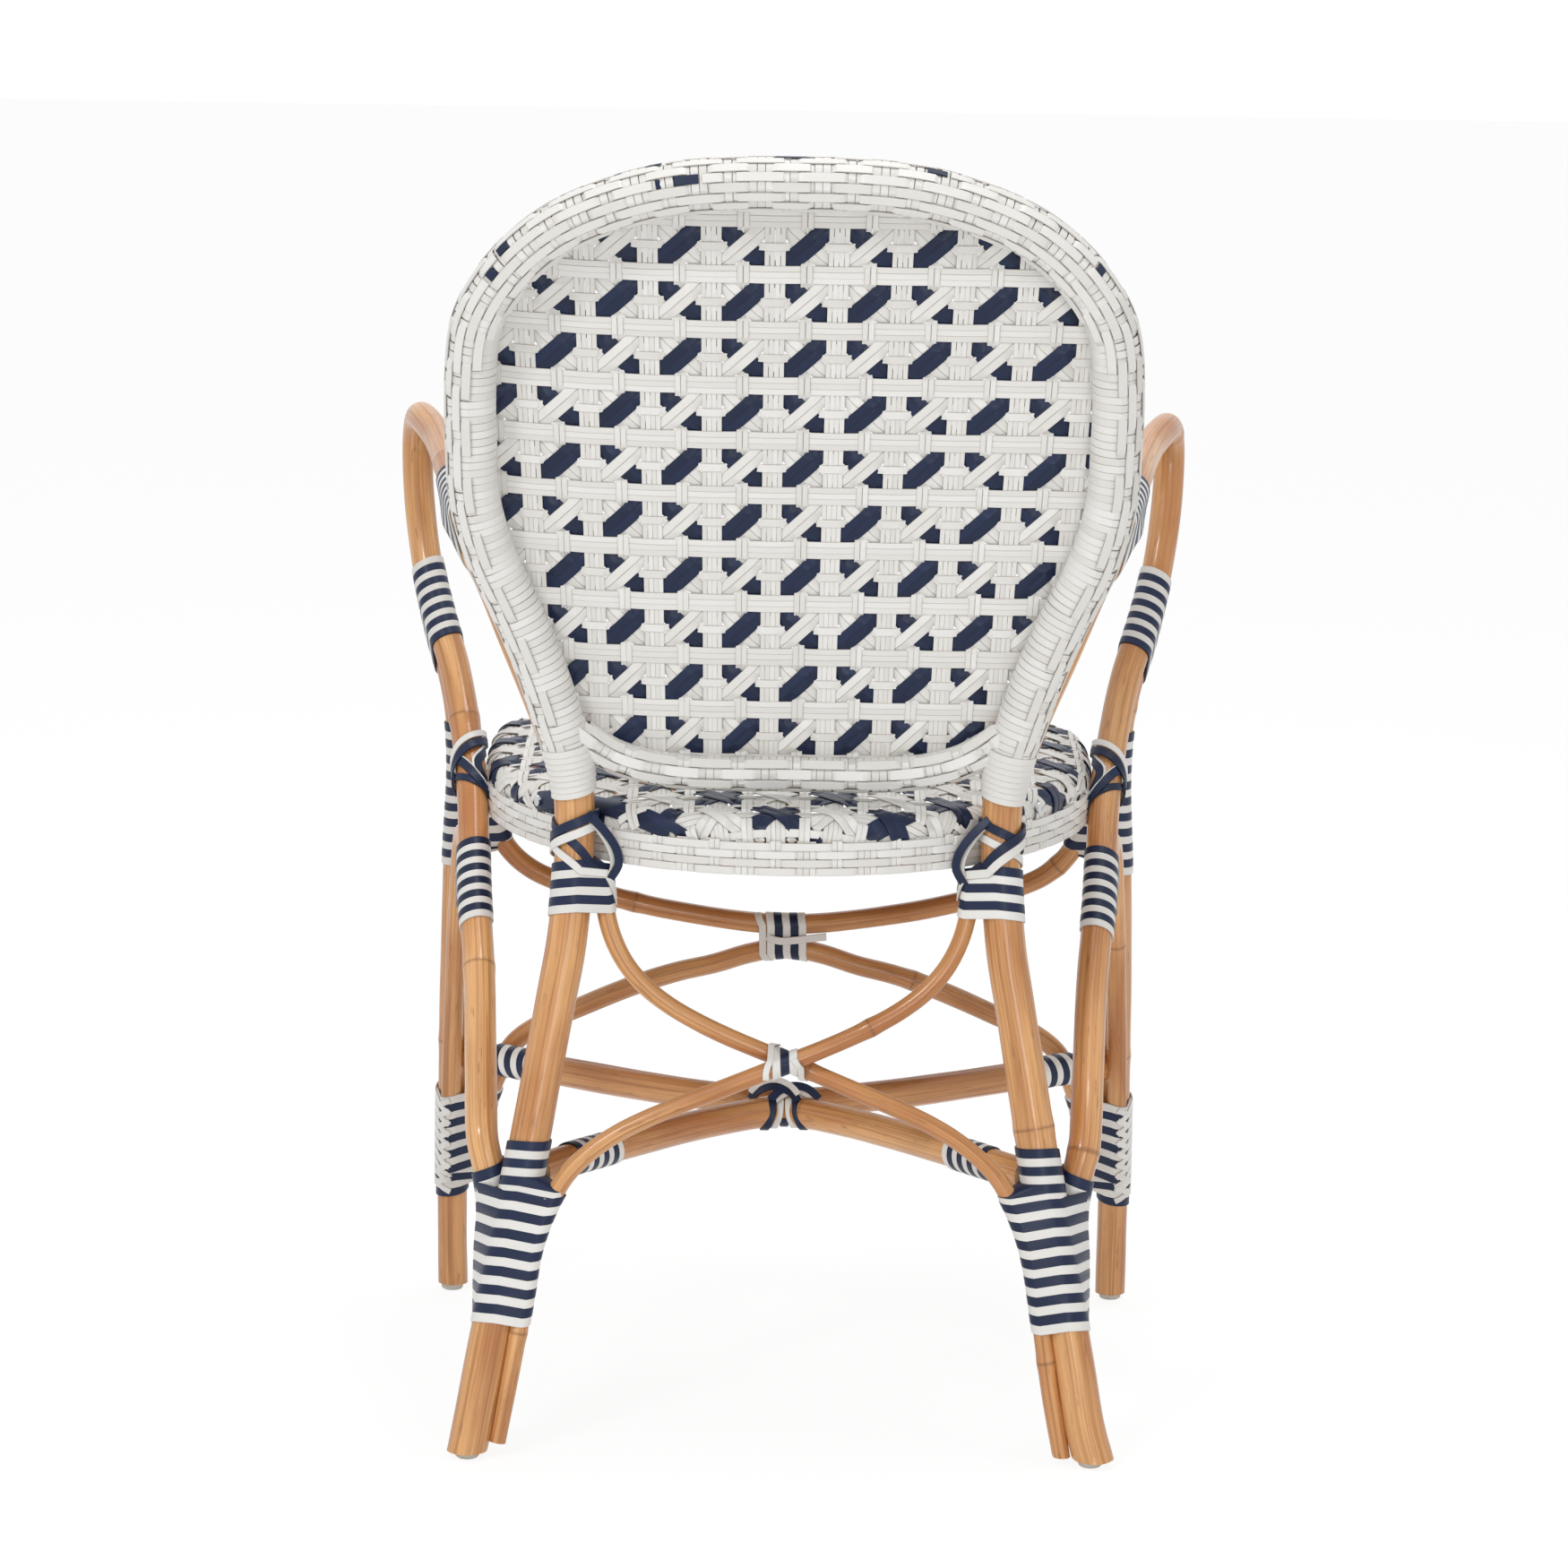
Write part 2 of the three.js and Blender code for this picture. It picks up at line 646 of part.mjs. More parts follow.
// each row: share of the half width at that end, share of the height from the crossing to that end
const braceTopShares = [
  [0.332, 0.135], [0.548, 0.243], [0.725, 0.359], [0.868, 0.514], [0.96, 0.705], [0.988, 0.837],
];
const braceFootShares = [
  [0.3, 0.172], [0.483, 0.275], [0.648, 0.382], [0.756, 0.481], [0.852, 0.595], [0.93, 0.76],
];

function bracePoints(sideStep) {
  const top = rearLegAt(braceTopHeight).add(point(-besideLeg, 0, 0));
  const besideLegAt = (z, turn) => rearLegAt(z).add(point(
    besideLeg * Math.cos(turn), besideLeg * Math.sin(turn), 0,
  ));
  const meet = besideLegAt(braceMeetHeight, braceMeetTurn);
  const down = braceLegShares.map((share) => besideLegAt(
    lerp(braceMeetHeight, 0, share), lerp(braceMeetTurn, braceFloorTurn, share),
  ));
  const rise = braceTopShares.map(([width, height]) => {
    const z = lerp(braceCentreHeight, braceTopHeight, height);
    return point(width * top.x, rearLegAt(z).y + sideStep * (1 - width), z);
  });
  const fall = braceFootShares.map(([width, height]) => {
    const z = lerp(braceCentreHeight, braceMeetHeight, height);
    const behind = lerp(sideStep, meet.y - rearLegAt(braceMeetHeight).y, width ** 2);
    return point(-width * meet.x, rearLegAt(z).y + behind, z);
  });
  const middle = point(0, rearLegAt(braceCentreHeight).y + sideStep, braceCentreHeight);
  return [top, ...rise.reverse(), middle, ...fall, ...mirrored([meet, ...down])];
}

const braceStep = braceRadius + touch / 2;
const frontBrace = makePole(bracePoints(-braceStep), braceDiameter, 27, arcSideCount);
const rearBrace = makePole(mirrored(bracePoints(braceStep)), braceDiameter, 27, arcSideCount);

// Stretchers: two bows back to back, lashed where they touch
const bowShares = [[0.16, 0.1], [0.36, 0.27], [0.7, 0.64]];

function bowPoints(end, middleY) {
  const side = bowShares.map(([width, reach]) => point(width * end.x, lerp(middleY, end.y, reach), end.z));
  return [...mirrored([...side, end]).reverse(), point(0, middleY, end.z), ...side, end];
}

const bowMiddleY = stretcherRadius + touch / 2;
const frontBow = makePole(bowPoints(frontLegAt(frontStretcherHeight), -bowMiddleY), stretcherDiameter, 22);
const rearBowEnd = rearLegAt(rearStretcherHeight);
const rearBow = makePole(bowPoints(rearBowEnd, bowMiddleY), stretcherDiameter, 22);

// Seat frame: the ring, the apron's hoop and one bearer from front to rear
const ringInset = apronBulge + weaveThickness + gap + seatRingDiameter / 2;
const ringHeight = seatHeight - weaveThickness - gap - seatRingDiameter / 2;
const hoopInset = apronBulge + weaveThickness + gap + apronHoopDiameter / 2;
const apronHoopHeight = seatHeight - seatRimHeight + apronHoopDiameter / 2;

// The round section of a ring, as rows of inset and height
function roundProfile(inset, height, diameter) {
  const rows = [];
  for (let i = 0; i < arcSideCount; i += 1) {
    const angle = (2 * Math.PI * (i + 0.5)) / arcSideCount;
    rows.push([inset + (diameter / 2) * Math.cos(angle), height + (diameter / 2) * Math.sin(angle)]);
  }
  return rows;
}

const bearer = makePole([
  point(0, seatMiddleY - seatFrontReach + ringInset, ringHeight - touch),
  point(0, seatMiddleY, ringHeight - touch),
  point(0, seatMiddleY + seatRearReach - ringInset, ringHeight - touch),
], bearerDiameter, 2);

// Lower rail of the back, level in the middle and turned up to the posts
const railShares = [[0, 0], [0.46, 0.02], [0.7, 0.22], [0.88, 0.62], [1, 1]];
const railForward = hoopRadius + borderWeaveThickness - railDiameter / 2 - railWeaveThickness;

function railPoints() {
  const end = passes(hoop, point(postHalfSpacing, postY, seatHeight + railEndRise), up).centre;
  const side = railShares.map(([width, height]) => {
    const z = seatHeight + lerp(railRise, railEndRise, height);
    return point(width * end.x, backPlaneY(z) - railForward, z);
  });
  return [...mirrored(side.slice(1)).reverse(), ...side];
}

const rail = makePole(railPoints(), railDiameter, 16);

// Border weave: a sleeve on the hoop between the posts' wraps
const borderStartShare = 0.06;

function borderPole() {
  const z = seatHeight + borderStartShare * hoopRise;
  const inside = hoop.stations.filter((p) => p.z > z);
  const curve = new THREE.CatmullRomCurve3(inside, false, 'centripetal');
  return { ...hoop, curve, steps: inside.length - 1, stations: inside };
}

const border = borderPole();

// Woven sheets
// A closed ring whose section follows the seat's edge; profile rows are [inset, height]
function ringBand(profile, count) {
  const positions = [];
  const corners = [];
  for (const [inset, height] of profile) {
    for (const p of seatLoop(count, inset)) positions.push(p.x, p.y, height);
  }
  const rows = profile.length;
  for (let row = 0; row < rows; row += 1) {
    for (let i = 0; i < count; i += 1) {
      const next = (i + 1) % count;
      const a = row * count + i;
      const b = row * count + next;
      const c = ((row + 1) % rows) * count + next;
      const d = ((row + 1) % rows) * count + i;
      corners.push(a, b, c, a, c, d);
    }
  }
  const geometry = new THREE.BufferGeometry();
  geometry.setAttribute('position', new THREE.Float32BufferAttribute(positions, 3));
  geometry.setIndex(corners);
  return solidOf(geometry);
}

// The seat's woven sheet: crowned, with its edge rounded over the ring
// each row: share of the way in from the edge, share of the crown
const seatSheetShares = [[0.72, 0.93], [0.42, 0.68], [0.16, 0.28], [0.02, 0]];

function seatSheet(count) {
  const positions = [];
  const corners = [];
  const middleY = seatMiddleY + (seatRearReach - seatFrontReach) / 2;
  const rowsOf = (drop) => {
    const rows = [];
    for (const [inward, crown] of seatSheetShares) {
      const ring = seatLoop(count).map((p) => point(
        p.x * (1 - inward),
        middleY + (p.y - middleY) * (1 - inward),
        seatHeight + crown * seatCrown - drop,
      ));
      rows.push(ring);
    }
    return rows;
  };
  const addSurface = (drop, facing) => {
    const rows = rowsOf(drop);
    const base = positions.length / 3;
    positions.push(0, middleY, seatHeight + seatCrown - drop);
    for (const ring of rows) for (const p of ring) positions.push(p.x, p.y, p.z);
    for (let i = 0; i < count; i += 1) {
      const next = (i + 1) % count;
      const tri = [base, base + 1 + i, base + 1 + next];
      corners.push(...(facing > 0 ? tri : tri.reverse()));
      for (let row = 0; row < rows.length - 1; row += 1) {
        const a = base + 1 + row * count + i;
        const b = base + 1 + row * count + next;
        const quad = [a, a + count, b + count, a, b + count, b];
        corners.push(...(facing > 0 ? quad : quad.reverse()));
      }
    }
    return base + 1 + (rows.length - 1) * count;
  };
  const top = addSurface(0, 1);
  const bottom = addSurface(weaveThickness, -1);
  for (let i = 0; i < count; i += 1) {
    const next = (i + 1) % count;
    corners.push(top + i, bottom + i, bottom + next, top + i, bottom + next, top + next);
  }
  const geometry = new THREE.BufferGeometry();
  geometry.setAttribute('position', new THREE.Float32BufferAttribute(positions, 3));
  geometry.setIndex(corners);
  return solidOf(geometry);
}

// The back's woven panel, cut to the border and the rail that carry it
function panelSheet() {
  const outline = new THREE.Shape();
  const lean = Math.cos(backLeanAngle);
  const upTheBack = (z) => (z - seatHeight) / lean;
  const side = hoop.stations.filter((p) => p.z > seatHeight + railRise);
  const flat = side.map((p) => new THREE.Vector2(p.x, upTheBack(p.z)));
  const foot = rail.stations.map((p) => new THREE.Vector2(p.x, upTheBack(p.z)));
  const lowest = foot.filter((p) => Math.abs(p.x) < Math.abs(flat[0].x) - railDiameter);
  outline.setFromPoints([...flat, ...lowest]);
  const sheet = new THREE.ExtrudeGeometry(outline, { depth: panelThickness, bevelEnabled: false });
  sheet.rotateX(Math.PI / 2 - backLeanAngle);
  sheet.translate(0, postY, seatHeight);
  const forward = point(0, -Math.cos(backLeanAngle), Math.sin(backLeanAngle));
  sheet.translate(0, forward.y * panelForward, forward.z * panelForward);
  return solidOf(sheet);
}

// Fittings
function glideGeometry() {
  const half = glideDiameter / 2;
  const edge = glideHeight / 3;
  const pin = glidePinDiameter / 2;
  return new THREE.LatheGeometry([
    new THREE.Vector2(0, 0),
    new THREE.Vector2(half - edge, 0),
    new THREE.Vector2(half, edge),
    new THREE.Vector2(half, glideHeight - gap),
    new THREE.Vector2(pin, glideHeight - gap),
    new THREE.Vector2(pin, glideHeight + glidePinLength),
    new THREE.Vector2(0, glideHeight + glidePinLength),
  ], latheSideCount).rotateX(Math.PI / 2);
}

function screwGeometry(room = 0) {
  const head = screwHeadDiameter / 2 + room;
  const shank = screwShankDiameter / 2 + room;
  return new THREE.LatheGeometry([
    new THREE.Vector2(0, -screwLength - room),
    new THREE.Vector2(shank, -screwLength - room),
    new THREE.Vector2(shank, -room),
    new THREE.Vector2(head, -room),
    new THREE.Vector2(head, screwHeadHeight / 2 + room),
    new THREE.Vector2(0, screwHeadHeight + room),
  ], latheSideCount);
}

function screwAt(place, outward, room) {
  const turn = new THREE.Quaternion().setFromUnitVectors(point(0, 1, 0), outward);
  const placed = new THREE.Matrix4().compose(place, turn, point(1, 1, 1));
  return solidOf(screwGeometry(room).applyMatrix4(placed));
}

const glideAt = (x, y) => solidOf(glideGeometry().translate(x, y, 0));

function glidePinTool(x, y) {
  const radius = glidePinDiameter / 2 + gap;
  const pin = new THREE.CylinderGeometry(radius, radius, 2 * (glidePinLength + gap), latheSideCount);
  return solidOf(pin.rotateX(Math.PI / 2).translate(x, y, glideHeight));
}

// What lies below the feet's cut
function floorBlock() {
  const wide = 4 * armHalfSpread;
  const block = new THREE.BoxGeometry(wide, wide, wide);
  return solidOf(block.translate(0, 0, glideHeight - wide / 2));
}

const belowFeet = floorBlock();
const onSide = (side, solid) => (side > 0 ? solid : solid.mirror([1, 0, 0]));
const sides = [['left', 1], ['right', -1]];
const onPole = (pole, share) => pole.curve.getPointAt(share);
const flip = (p, side) => point(side * p.x, p.y, p.z);
const sidePole = (pole, side) => (side > 0 ? pole : {
  ...pole,
  curve: new THREE.CatmullRomCurve3(mirrored(pole.curve.points), false, 'centripetal'),
  stations: mirrored(pole.stations),
});

const rearGlide = rearLegAt(glideHeight);
const frontGlide = frontLegAt(glideHeight);

const postScrewEdge = seatRearEdgeAt(postScrewHalfSpacing);
const postScrews = sides.map(([, side]) => ({
  place: point(side * postScrewEdge.x, postScrewEdge.y, ringHeight),
  outward: point(side * postScrewEdge.nx, postScrewEdge.ny, 0),
}));

function addPoles() {
  const pinTools = sides.map(([, side]) => glidePinTool(side * rearGlide.x, rearGlide.y));
  addPiece('hoop_and_rear_legs', cut(poleSolid(hoop), [belowFeet, ...pinTools]), rattan);
  for (const [name, side] of sides) {
    const legPole = cut(poleSolid(frontLeg), [belowFeet, glidePinTool(frontGlide.x, frontGlide.y)]);
    addPiece(`${name}_arm_pole`, onSide(side, poleSolid(armPole)), rattan);
    addPiece(`${name}_front_leg`, onSide(side, cope(legPole, [armPole])), rattan);
    addPiece(`${name}_arm_upright`, onSide(side, cope(poleSolid(armUpright), [armPole, hoop])), rattan);
    const arch = cope(poleSolid(sideArch), [armPole, frontLeg, frontBow, sidePole(rearBow, 1)]);
    addPiece(`${name}_side_arch`, onSide(side, arch), rattan);
  }
  addPiece('front_upper_arc', poleSolid(frontArc), rattan);
  addPiece('front_lower_arch', poleSolid(frontArch), rattan);
  for (const [place, brace] of [['front', frontBrace], ['rear', rearBrace]]) {
    const standing = cut(poleSolid(brace), [belowFeet]);
    addPiece(`rear_cross_brace_${place}`, cope(standing, [hoop, rearBow]), rattan);
  }
  const frontLegTools = sides.map(([, side]) => onSide(side, poleTool(frontLeg)));
  addPiece('front_stretcher_bow', cut(poleSolid(frontBow), frontLegTools), rattan);
  addPiece('rear_stretcher_bow', cut(poleSolid(rearBow), [poleTool(hoop)]), rattan);
}

// where the apron stands out furthest, as shares of the seat's height over the apron's bottom
const apronBulgeShares = [0.3, 0.7];

function addSeat() {
  const screws = postScrews.map(({ place, outward }) => screwAt(place, outward, gap));
  const ringProfile = (room) => roundProfile(ringInset, ringHeight, seatRingDiameter + 2 * room);
  const ring = (room) => ringBand(ringProfile(room), seatSideCount);
  const lowHoop = roundProfile(hoopInset, apronHoopHeight, apronHoopDiameter);
  addPiece('seat_ring', cut(ring(0), screws), rattan);
  addPiece('apron_hoop', ringBand(lowHoop, seatSideCount), rattan);
  addPiece('seat_bearer', cut(poleSolid(bearer), [ring(gap)]), rattan);
  postScrews.forEach(({ place, outward }, i) => {
    addPiece(`${sides[i][0]}_seat_screw`, screwAt(place, outward, 0), steel);
  });
  const neighbours = [
    poleTool(hoop, lashingRoom),
    ...sides.map(([, side]) => onSide(side, poleTool(armPole, lashingRoom))),
  ];
  const apronBottom = seatHeight - seatRimHeight;
  const apronTop = seatHeight - weaveThickness - gap;
  const [lowBulge, highBulge] = apronBulgeShares.map((share) => lerp(apronBottom, seatHeight, share));
  const apronProfile = [
    [apronBulge, apronBottom],
    [0, lowBulge],
    [0, highBulge],
    [apronBulge, apronTop],
    [apronBulge + weaveThickness, apronTop],
    [weaveThickness, highBulge],
    [weaveThickness, lowBulge],
    [apronBulge + weaveThickness, apronBottom],
  ];
  const apron = cut(ringBand(apronProfile, seatSideCount), [...neighbours, ...screws]);
  addPiece('seat_apron_weave', apron, paleWeave);
  addPiece('seat_weave', cut(seatSheet(seatSideCount), neighbours), paleWeave);
}

function addBack() {
  const borderRadius = hoopRadius + borderWeaveThickness;
  const sleeve = sweep(border, borderRadius).subtract(poleTool(hoop));
  addPiece('hoop_border_weave', largestPiece(sleeve), paleWeave);
  const borderTool = sweep(border, roomy(borderRadius + gap, border.sides));
  addPiece('back_lower_rail', cut(poleSolid(rail), [borderTool, poleTool(hoop)]), rattan);
  const railRadius = railDiameter / 2 + railWeaveThickness;
  const railSleeve = sweep(rail, railRadius).subtract(poleTool(rail));
  const railRoom = poleTool(hoop, lashingRoom);
  addPiece('back_rail_weave', cut(railSleeve, [borderTool, railRoom]), paleWeave);
  const railTool = sweep(rail, roomy(railRadius + gap, rail.sides));
  addPiece('back_panel_weave', cut(panelSheet(), [borderTool, railTool, railRoom]), paleWeave);
}

function addFittings() {
  for (const [name, side] of sides) {
    addPiece(`rear_${name}_glide`, glideAt(side * rearGlide.x, rearGlide.y), palePlastic);
    addPiece(`front_${name}_glide`, glideAt(side * frontGlide.x, frontGlide.y), palePlastic);
  }
}

// Heights of the lashings' ends
const rearFootLashingTop = rearStretcherHeight - stretcherRadius - rearFootLashingRoom;
const rearFootLashing = [rearFootLashingHeight, rearFootLashingTop];
const frontFootLashingTop = frontStretcherHeight - stretcherRadius - frontFootLashingRoom;
const frontFootLashing = [frontFootLashingHeight, frontFootLashingTop];
const postLashing = [seatHeight - postLashingDrop, seatHeight - postLashingTopDrop];
const postWrap = [seatHeight + postWrapRise, seatHeight + postWrapTopRise];
const frontSeatLashing = [seatHeight - frontSeatLashingDrop, seatHeight + frontSeatLashingTopRise];
const underSeatLashing = [seatHeight - underSeatLashingDrop, seatHeight - underSeatLashingTopDrop];
const seatSideLashing = [seatHeight - seatSideLashingDrop, seatHeight];
// the arm's front lashing, as shares of the arm's rise over the seat
const armFrontLashingShares = [0.335, 0.53];
// the others, as shares of the length of their pole
const armTipLashingShares = [0.925, 0.99];
const frontCollarShares = [0.925, 0.875];
const rearCollarShares = [0.925, 0.84];
const stretcherTurnCount = 4;
const arcTurnCount = 3;
const braceTurnCount = 1;

function addSideLashings(name, side) {
  const on = (pole) => sidePole(pole, side);
  const ends = (pole, heights, near) => heights.map((z) => flip(atHeight(pole, z, near), side));
  const shares = (pole, ends) => ends.map((share) => flip(onPole(pole, share), side));
  const add = (place, poles, [from, to], finish = navyStrip) => {
    lashing(`${name}_${place}`, poles, from, to, finish);
  };
  const ownBrace = side > 0 ? frontBrace : rearBrace;
  const otherBrace = side > 0 ? rearBrace : frontBrace;
  const armFront = point(armHalfSpread, armFrontY, 0);
  const armFrontLashing = armFrontLashingShares.map((share) => lerp(seatHeight, armHeight, share));
  add('rear_foot_lashing', [on(hoop), on(armPole), otherBrace], ends(hoop, rearFootLashing, rearFoot));
  add('post_lashing', [on(hoop), ownBrace], ends(hoop, postLashing, rearFoot));
  add('post_wrap', [on(hoop), on(armUpright)], ends(hoop, postWrap, rearFoot), paleWeave);
  const frontFootPoles = [on(frontLeg), on(sideArch), frontArch];
  add('front_foot_lashing', frontFootPoles, ends(frontLeg, frontFootLashing, frontFoot));
  add('front_seat_lashing', [on(frontLeg), frontArc], ends(frontLeg, frontSeatLashing, frontFoot));
  add('under_seat_lashing', [on(armPole), on(sideArch)], ends(armPole, underSeatLashing, armPoleSeat));
  add('seat_side_lashing', [on(armPole)], ends(armPole, seatSideLashing, armPoleSeat));
  add('arm_front_lashing', [on(armPole), on(frontLeg)], ends(armPole, armFrontLashing, armFront));
  add('arm_tip_lashing', [on(armPole), on(armUpright)], shares(armPole, armTipLashingShares));
  add('front_stretcher_collar', [frontBow], shares(frontBow, frontCollarShares));
  add('rear_stretcher_collar', [rearBow], shares(rearBow, rearCollarShares));
}

function addMiddleLashings() {
  const add = (place, poles, turns, { y, z }, finish) => {
    const half = (turnWidth + turns * turnPitch + touch) / 2;
    lashing(`${place}_centre_lashing`, poles, point(-half, y, z), point(half, y, z), finish);
  };
  const stretcherHeight = (frontStretcherHeight + rearStretcherHeight) / 2;
  const arcMiddle = frontLegAt((frontArcCentreHeight + frontArchCentreHeight) / 2);
  add('stretcher', [frontBow, rearBow], stretcherTurnCount, point(0, 0, stretcherHeight), navyStrip);
  add('front_arc', [frontArc, frontArch], arcTurnCount, arcMiddle, navyStrip);
  add('brace', [frontBrace, rearBrace], braceTurnCount, rearLegAt(braceCentreHeight), paleWeave);
}

addPoles();
addSeat();
addBack();
addFittings();
for (const [name, side] of sides) addSideLashings(name, side);
addMiddleLashings();

// The part is moved so that the middle of its box stands over the origin
const box = new THREE.Box3().setFromObject(chair);
for (const mesh of chair.children) mesh.geometry.translate(0, -(box.min.y + box.max.y) / 2, 0);

const tightest = leastGaps.reduce((best, entry) => (entry.least < best.least ? entry : best));
console.log(`least gap of a lashing to itself: ${tightest.least.toFixed(2)} mm, in ${tightest.name}`);
let triangles = 0;
chair.traverse((o) => { if (o.isMesh) triangles += o.geometry.index.count / 3; });
console.log(`${chair.children.length} pieces, ${triangles} triangles`);

export default chair;
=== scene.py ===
# %% [markdown]
# # A rattan bistro armchair
#
# The real chair is made of rattan poles, steamed and bent, that are tied together with flat plastic
# strips. Its seat and back are woven from the same strips. The CAD frame already holds every pole and
# knot in its true place, so this script reads the poles' middle lines from the frame and dresses them:
# round poles with cane joints, wound strips and a real over-and-under weave.

import math
import random

import bpy
import numpy as np
from mathutils import Matrix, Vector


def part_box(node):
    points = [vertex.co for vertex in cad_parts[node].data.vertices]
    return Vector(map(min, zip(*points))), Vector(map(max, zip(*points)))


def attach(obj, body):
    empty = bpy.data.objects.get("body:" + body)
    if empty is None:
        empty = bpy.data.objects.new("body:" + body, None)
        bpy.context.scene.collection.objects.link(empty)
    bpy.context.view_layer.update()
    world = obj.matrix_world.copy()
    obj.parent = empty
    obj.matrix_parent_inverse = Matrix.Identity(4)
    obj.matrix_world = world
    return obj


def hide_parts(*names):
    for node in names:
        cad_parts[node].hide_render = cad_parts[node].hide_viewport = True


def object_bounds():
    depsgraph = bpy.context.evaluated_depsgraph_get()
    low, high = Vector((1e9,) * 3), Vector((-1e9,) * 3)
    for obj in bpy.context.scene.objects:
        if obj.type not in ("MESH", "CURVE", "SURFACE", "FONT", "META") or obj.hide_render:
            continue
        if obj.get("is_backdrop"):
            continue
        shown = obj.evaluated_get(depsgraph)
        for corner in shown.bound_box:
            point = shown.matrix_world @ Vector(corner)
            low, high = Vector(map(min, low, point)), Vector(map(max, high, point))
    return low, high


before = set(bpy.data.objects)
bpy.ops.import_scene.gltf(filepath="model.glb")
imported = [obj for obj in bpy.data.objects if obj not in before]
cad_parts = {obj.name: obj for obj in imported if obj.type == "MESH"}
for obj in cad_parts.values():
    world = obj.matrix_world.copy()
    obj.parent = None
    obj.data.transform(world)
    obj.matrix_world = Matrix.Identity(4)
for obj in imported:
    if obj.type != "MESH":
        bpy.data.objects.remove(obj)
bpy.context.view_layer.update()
MM = 0.001
luck = random.Random(11)
print("nodes in the frame:", len(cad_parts))

# %% [markdown]
# ## Lines
#
# Everything on this chair is a round pole or a flat strip, and both follow a line. A line could be a
# curve object, but plain arrays of points are easier to measure, cut and offset, so a few helpers on
# arrays come first. Each row is one point, in metres.

# %% Lines
LINE_STEP = 4 * MM
SPLINE_STEPS = 24
LEAST_RUN = 3


def unit(vectors):
    """The same directions with length one."""
    return vectors / np.maximum(np.linalg.norm(vectors, axis=-1, keepdims=True), 1e-12)


def lengths_along(points):
    """How far along the line each point lies."""
    steps = np.linalg.norm(np.diff(points, axis=0), axis=1)
    return np.concatenate([[0.0], np.cumsum(steps)])


def picked(wanted, along, rows):
    """Rows of values read off at the wanted lengths along a line."""
    return np.stack([np.interp(wanted, along, column) for column in rows.T], axis=1)


def even_line(points, step=LINE_STEP):
    """The same line with points at even steps."""
    along = lengths_along(points)
    count = max(2, round(along[-1] / step) + 1)
    return picked(np.linspace(0, along[-1], count), along, points)


def smooth_line(points):
    """A round line through the points, as a bent pole takes it (centripetal Catmull-Rom)."""
    p = np.vstack([2 * points[0] - points[1], points, 2 * points[-1] - points[-2]])
    knots = lengths_along(p) * 0
    knots[1:] = np.cumsum(np.linalg.norm(np.diff(p, axis=0), axis=1) ** 0.5)
    parts = []
    for i in range(1, len(p) - 2):
        t0, t1, t2, t3 = knots[i - 1 : i + 3]
        t = np.linspace(t1, t2, SPLINE_STEPS, endpoint=False)[:, None]
        a1 = ((t1 - t) * p[i - 1] + (t - t0) * p[i]) / (t1 - t0)
        a2 = ((t2 - t) * p[i] + (t - t1) * p[i + 1]) / (t2 - t1)
        a3 = ((t3 - t) * p[i + 1] + (t - t2) * p[i + 2]) / (t3 - t2)
        b1 = ((t2 - t) * a1 + (t - t0) * a2) / (t2 - t0)
        b2 = ((t3 - t) * a2 + (t - t1) * a3) / (t3 - t1)
        parts.append(((t2 - t) * b1 + (t - t1) * b2) / (t2 - t1))
    return even_line(np.vstack([*parts, points[-1:]]))


def headings(points):
    """The direction of travel at each point of a line."""
    return unit(np.gradient(points, axis=0))


def carried_sides(points):
    """A direction square to the line at each point, turned as little as possible on the way."""
    ahead = headings(points)
    side = np.cross(ahead[0], [0.3, 0.9, 0.2])
    sides = []
    for direction in ahead:
        side = side - direction * side.dot(direction)
        side /= np.linalg.norm(side)
        sides.append(side)
    return np.array(sides)


def runs_of(inside):
    """Slices of the unbroken runs of true values."""
    edges = np.flatnonzero(np.diff(np.concatenate([[0], inside.astype(int), [0]])))
    return [slice(a, b) for a, b in zip(edges[::2], edges[1::2]) if b - a >= LEAST_RUN]


def smooth_step(x):
    """0 below 0, 1 above 1, and a soft rise between."""
    x = np.clip(x, 0, 1)
    return x * x * (3 - 2 * x)


# %% [markdown]
# ## Building blocks of the finishes
#
# Grain has to follow each pole round its bends, so a texture laid out in space would look cut through.
# Unwrapping the poles would do it too. Here every piece instead carries an attribute called "straight",
# which says where a point would lie if the pole or strip were pulled straight, and the textures read it.

# %% Material helpers
def new_material(name):
    """An empty material and its shader."""
    material = bpy.data.materials.new(name)
    material.use_nodes = True
    nodes = material.node_tree.nodes
    return material, nodes, material.node_tree.links, nodes["Principled BSDF"]


def straightened(nodes, links, stretch):
    """Coordinates on the straightened piece, with a different scale across and along."""
    attribute = nodes.new("ShaderNodeAttribute")
    attribute.attribute_name = "straight"
    mapping = nodes.new("ShaderNodeMapping")
    mapping.inputs["Scale"].default_value = stretch
    links.new(attribute.outputs["Vector"], mapping.inputs["Vector"])
    return mapping.outputs["Vector"]


def noise(nodes, links, stretch, detail, low, high):
    """Noise on the straightened piece, spread between 0 and 1 from low to high."""
    texture = nodes.new("ShaderNodeTexNoise")
    texture.inputs["Scale"].default_value = 1.0
    texture.inputs["Detail"].default_value = detail
    links.new(straightened(nodes, links, stretch), texture.inputs["Vector"])
    spread = nodes.new("ShaderNodeMapRange")
    spread.inputs["From Min"].default_value = low
    spread.inputs["From Max"].default_value = high
    links.new(texture.outputs["Fac"], spread.inputs["Value"])
    return spread.outputs["Result"]


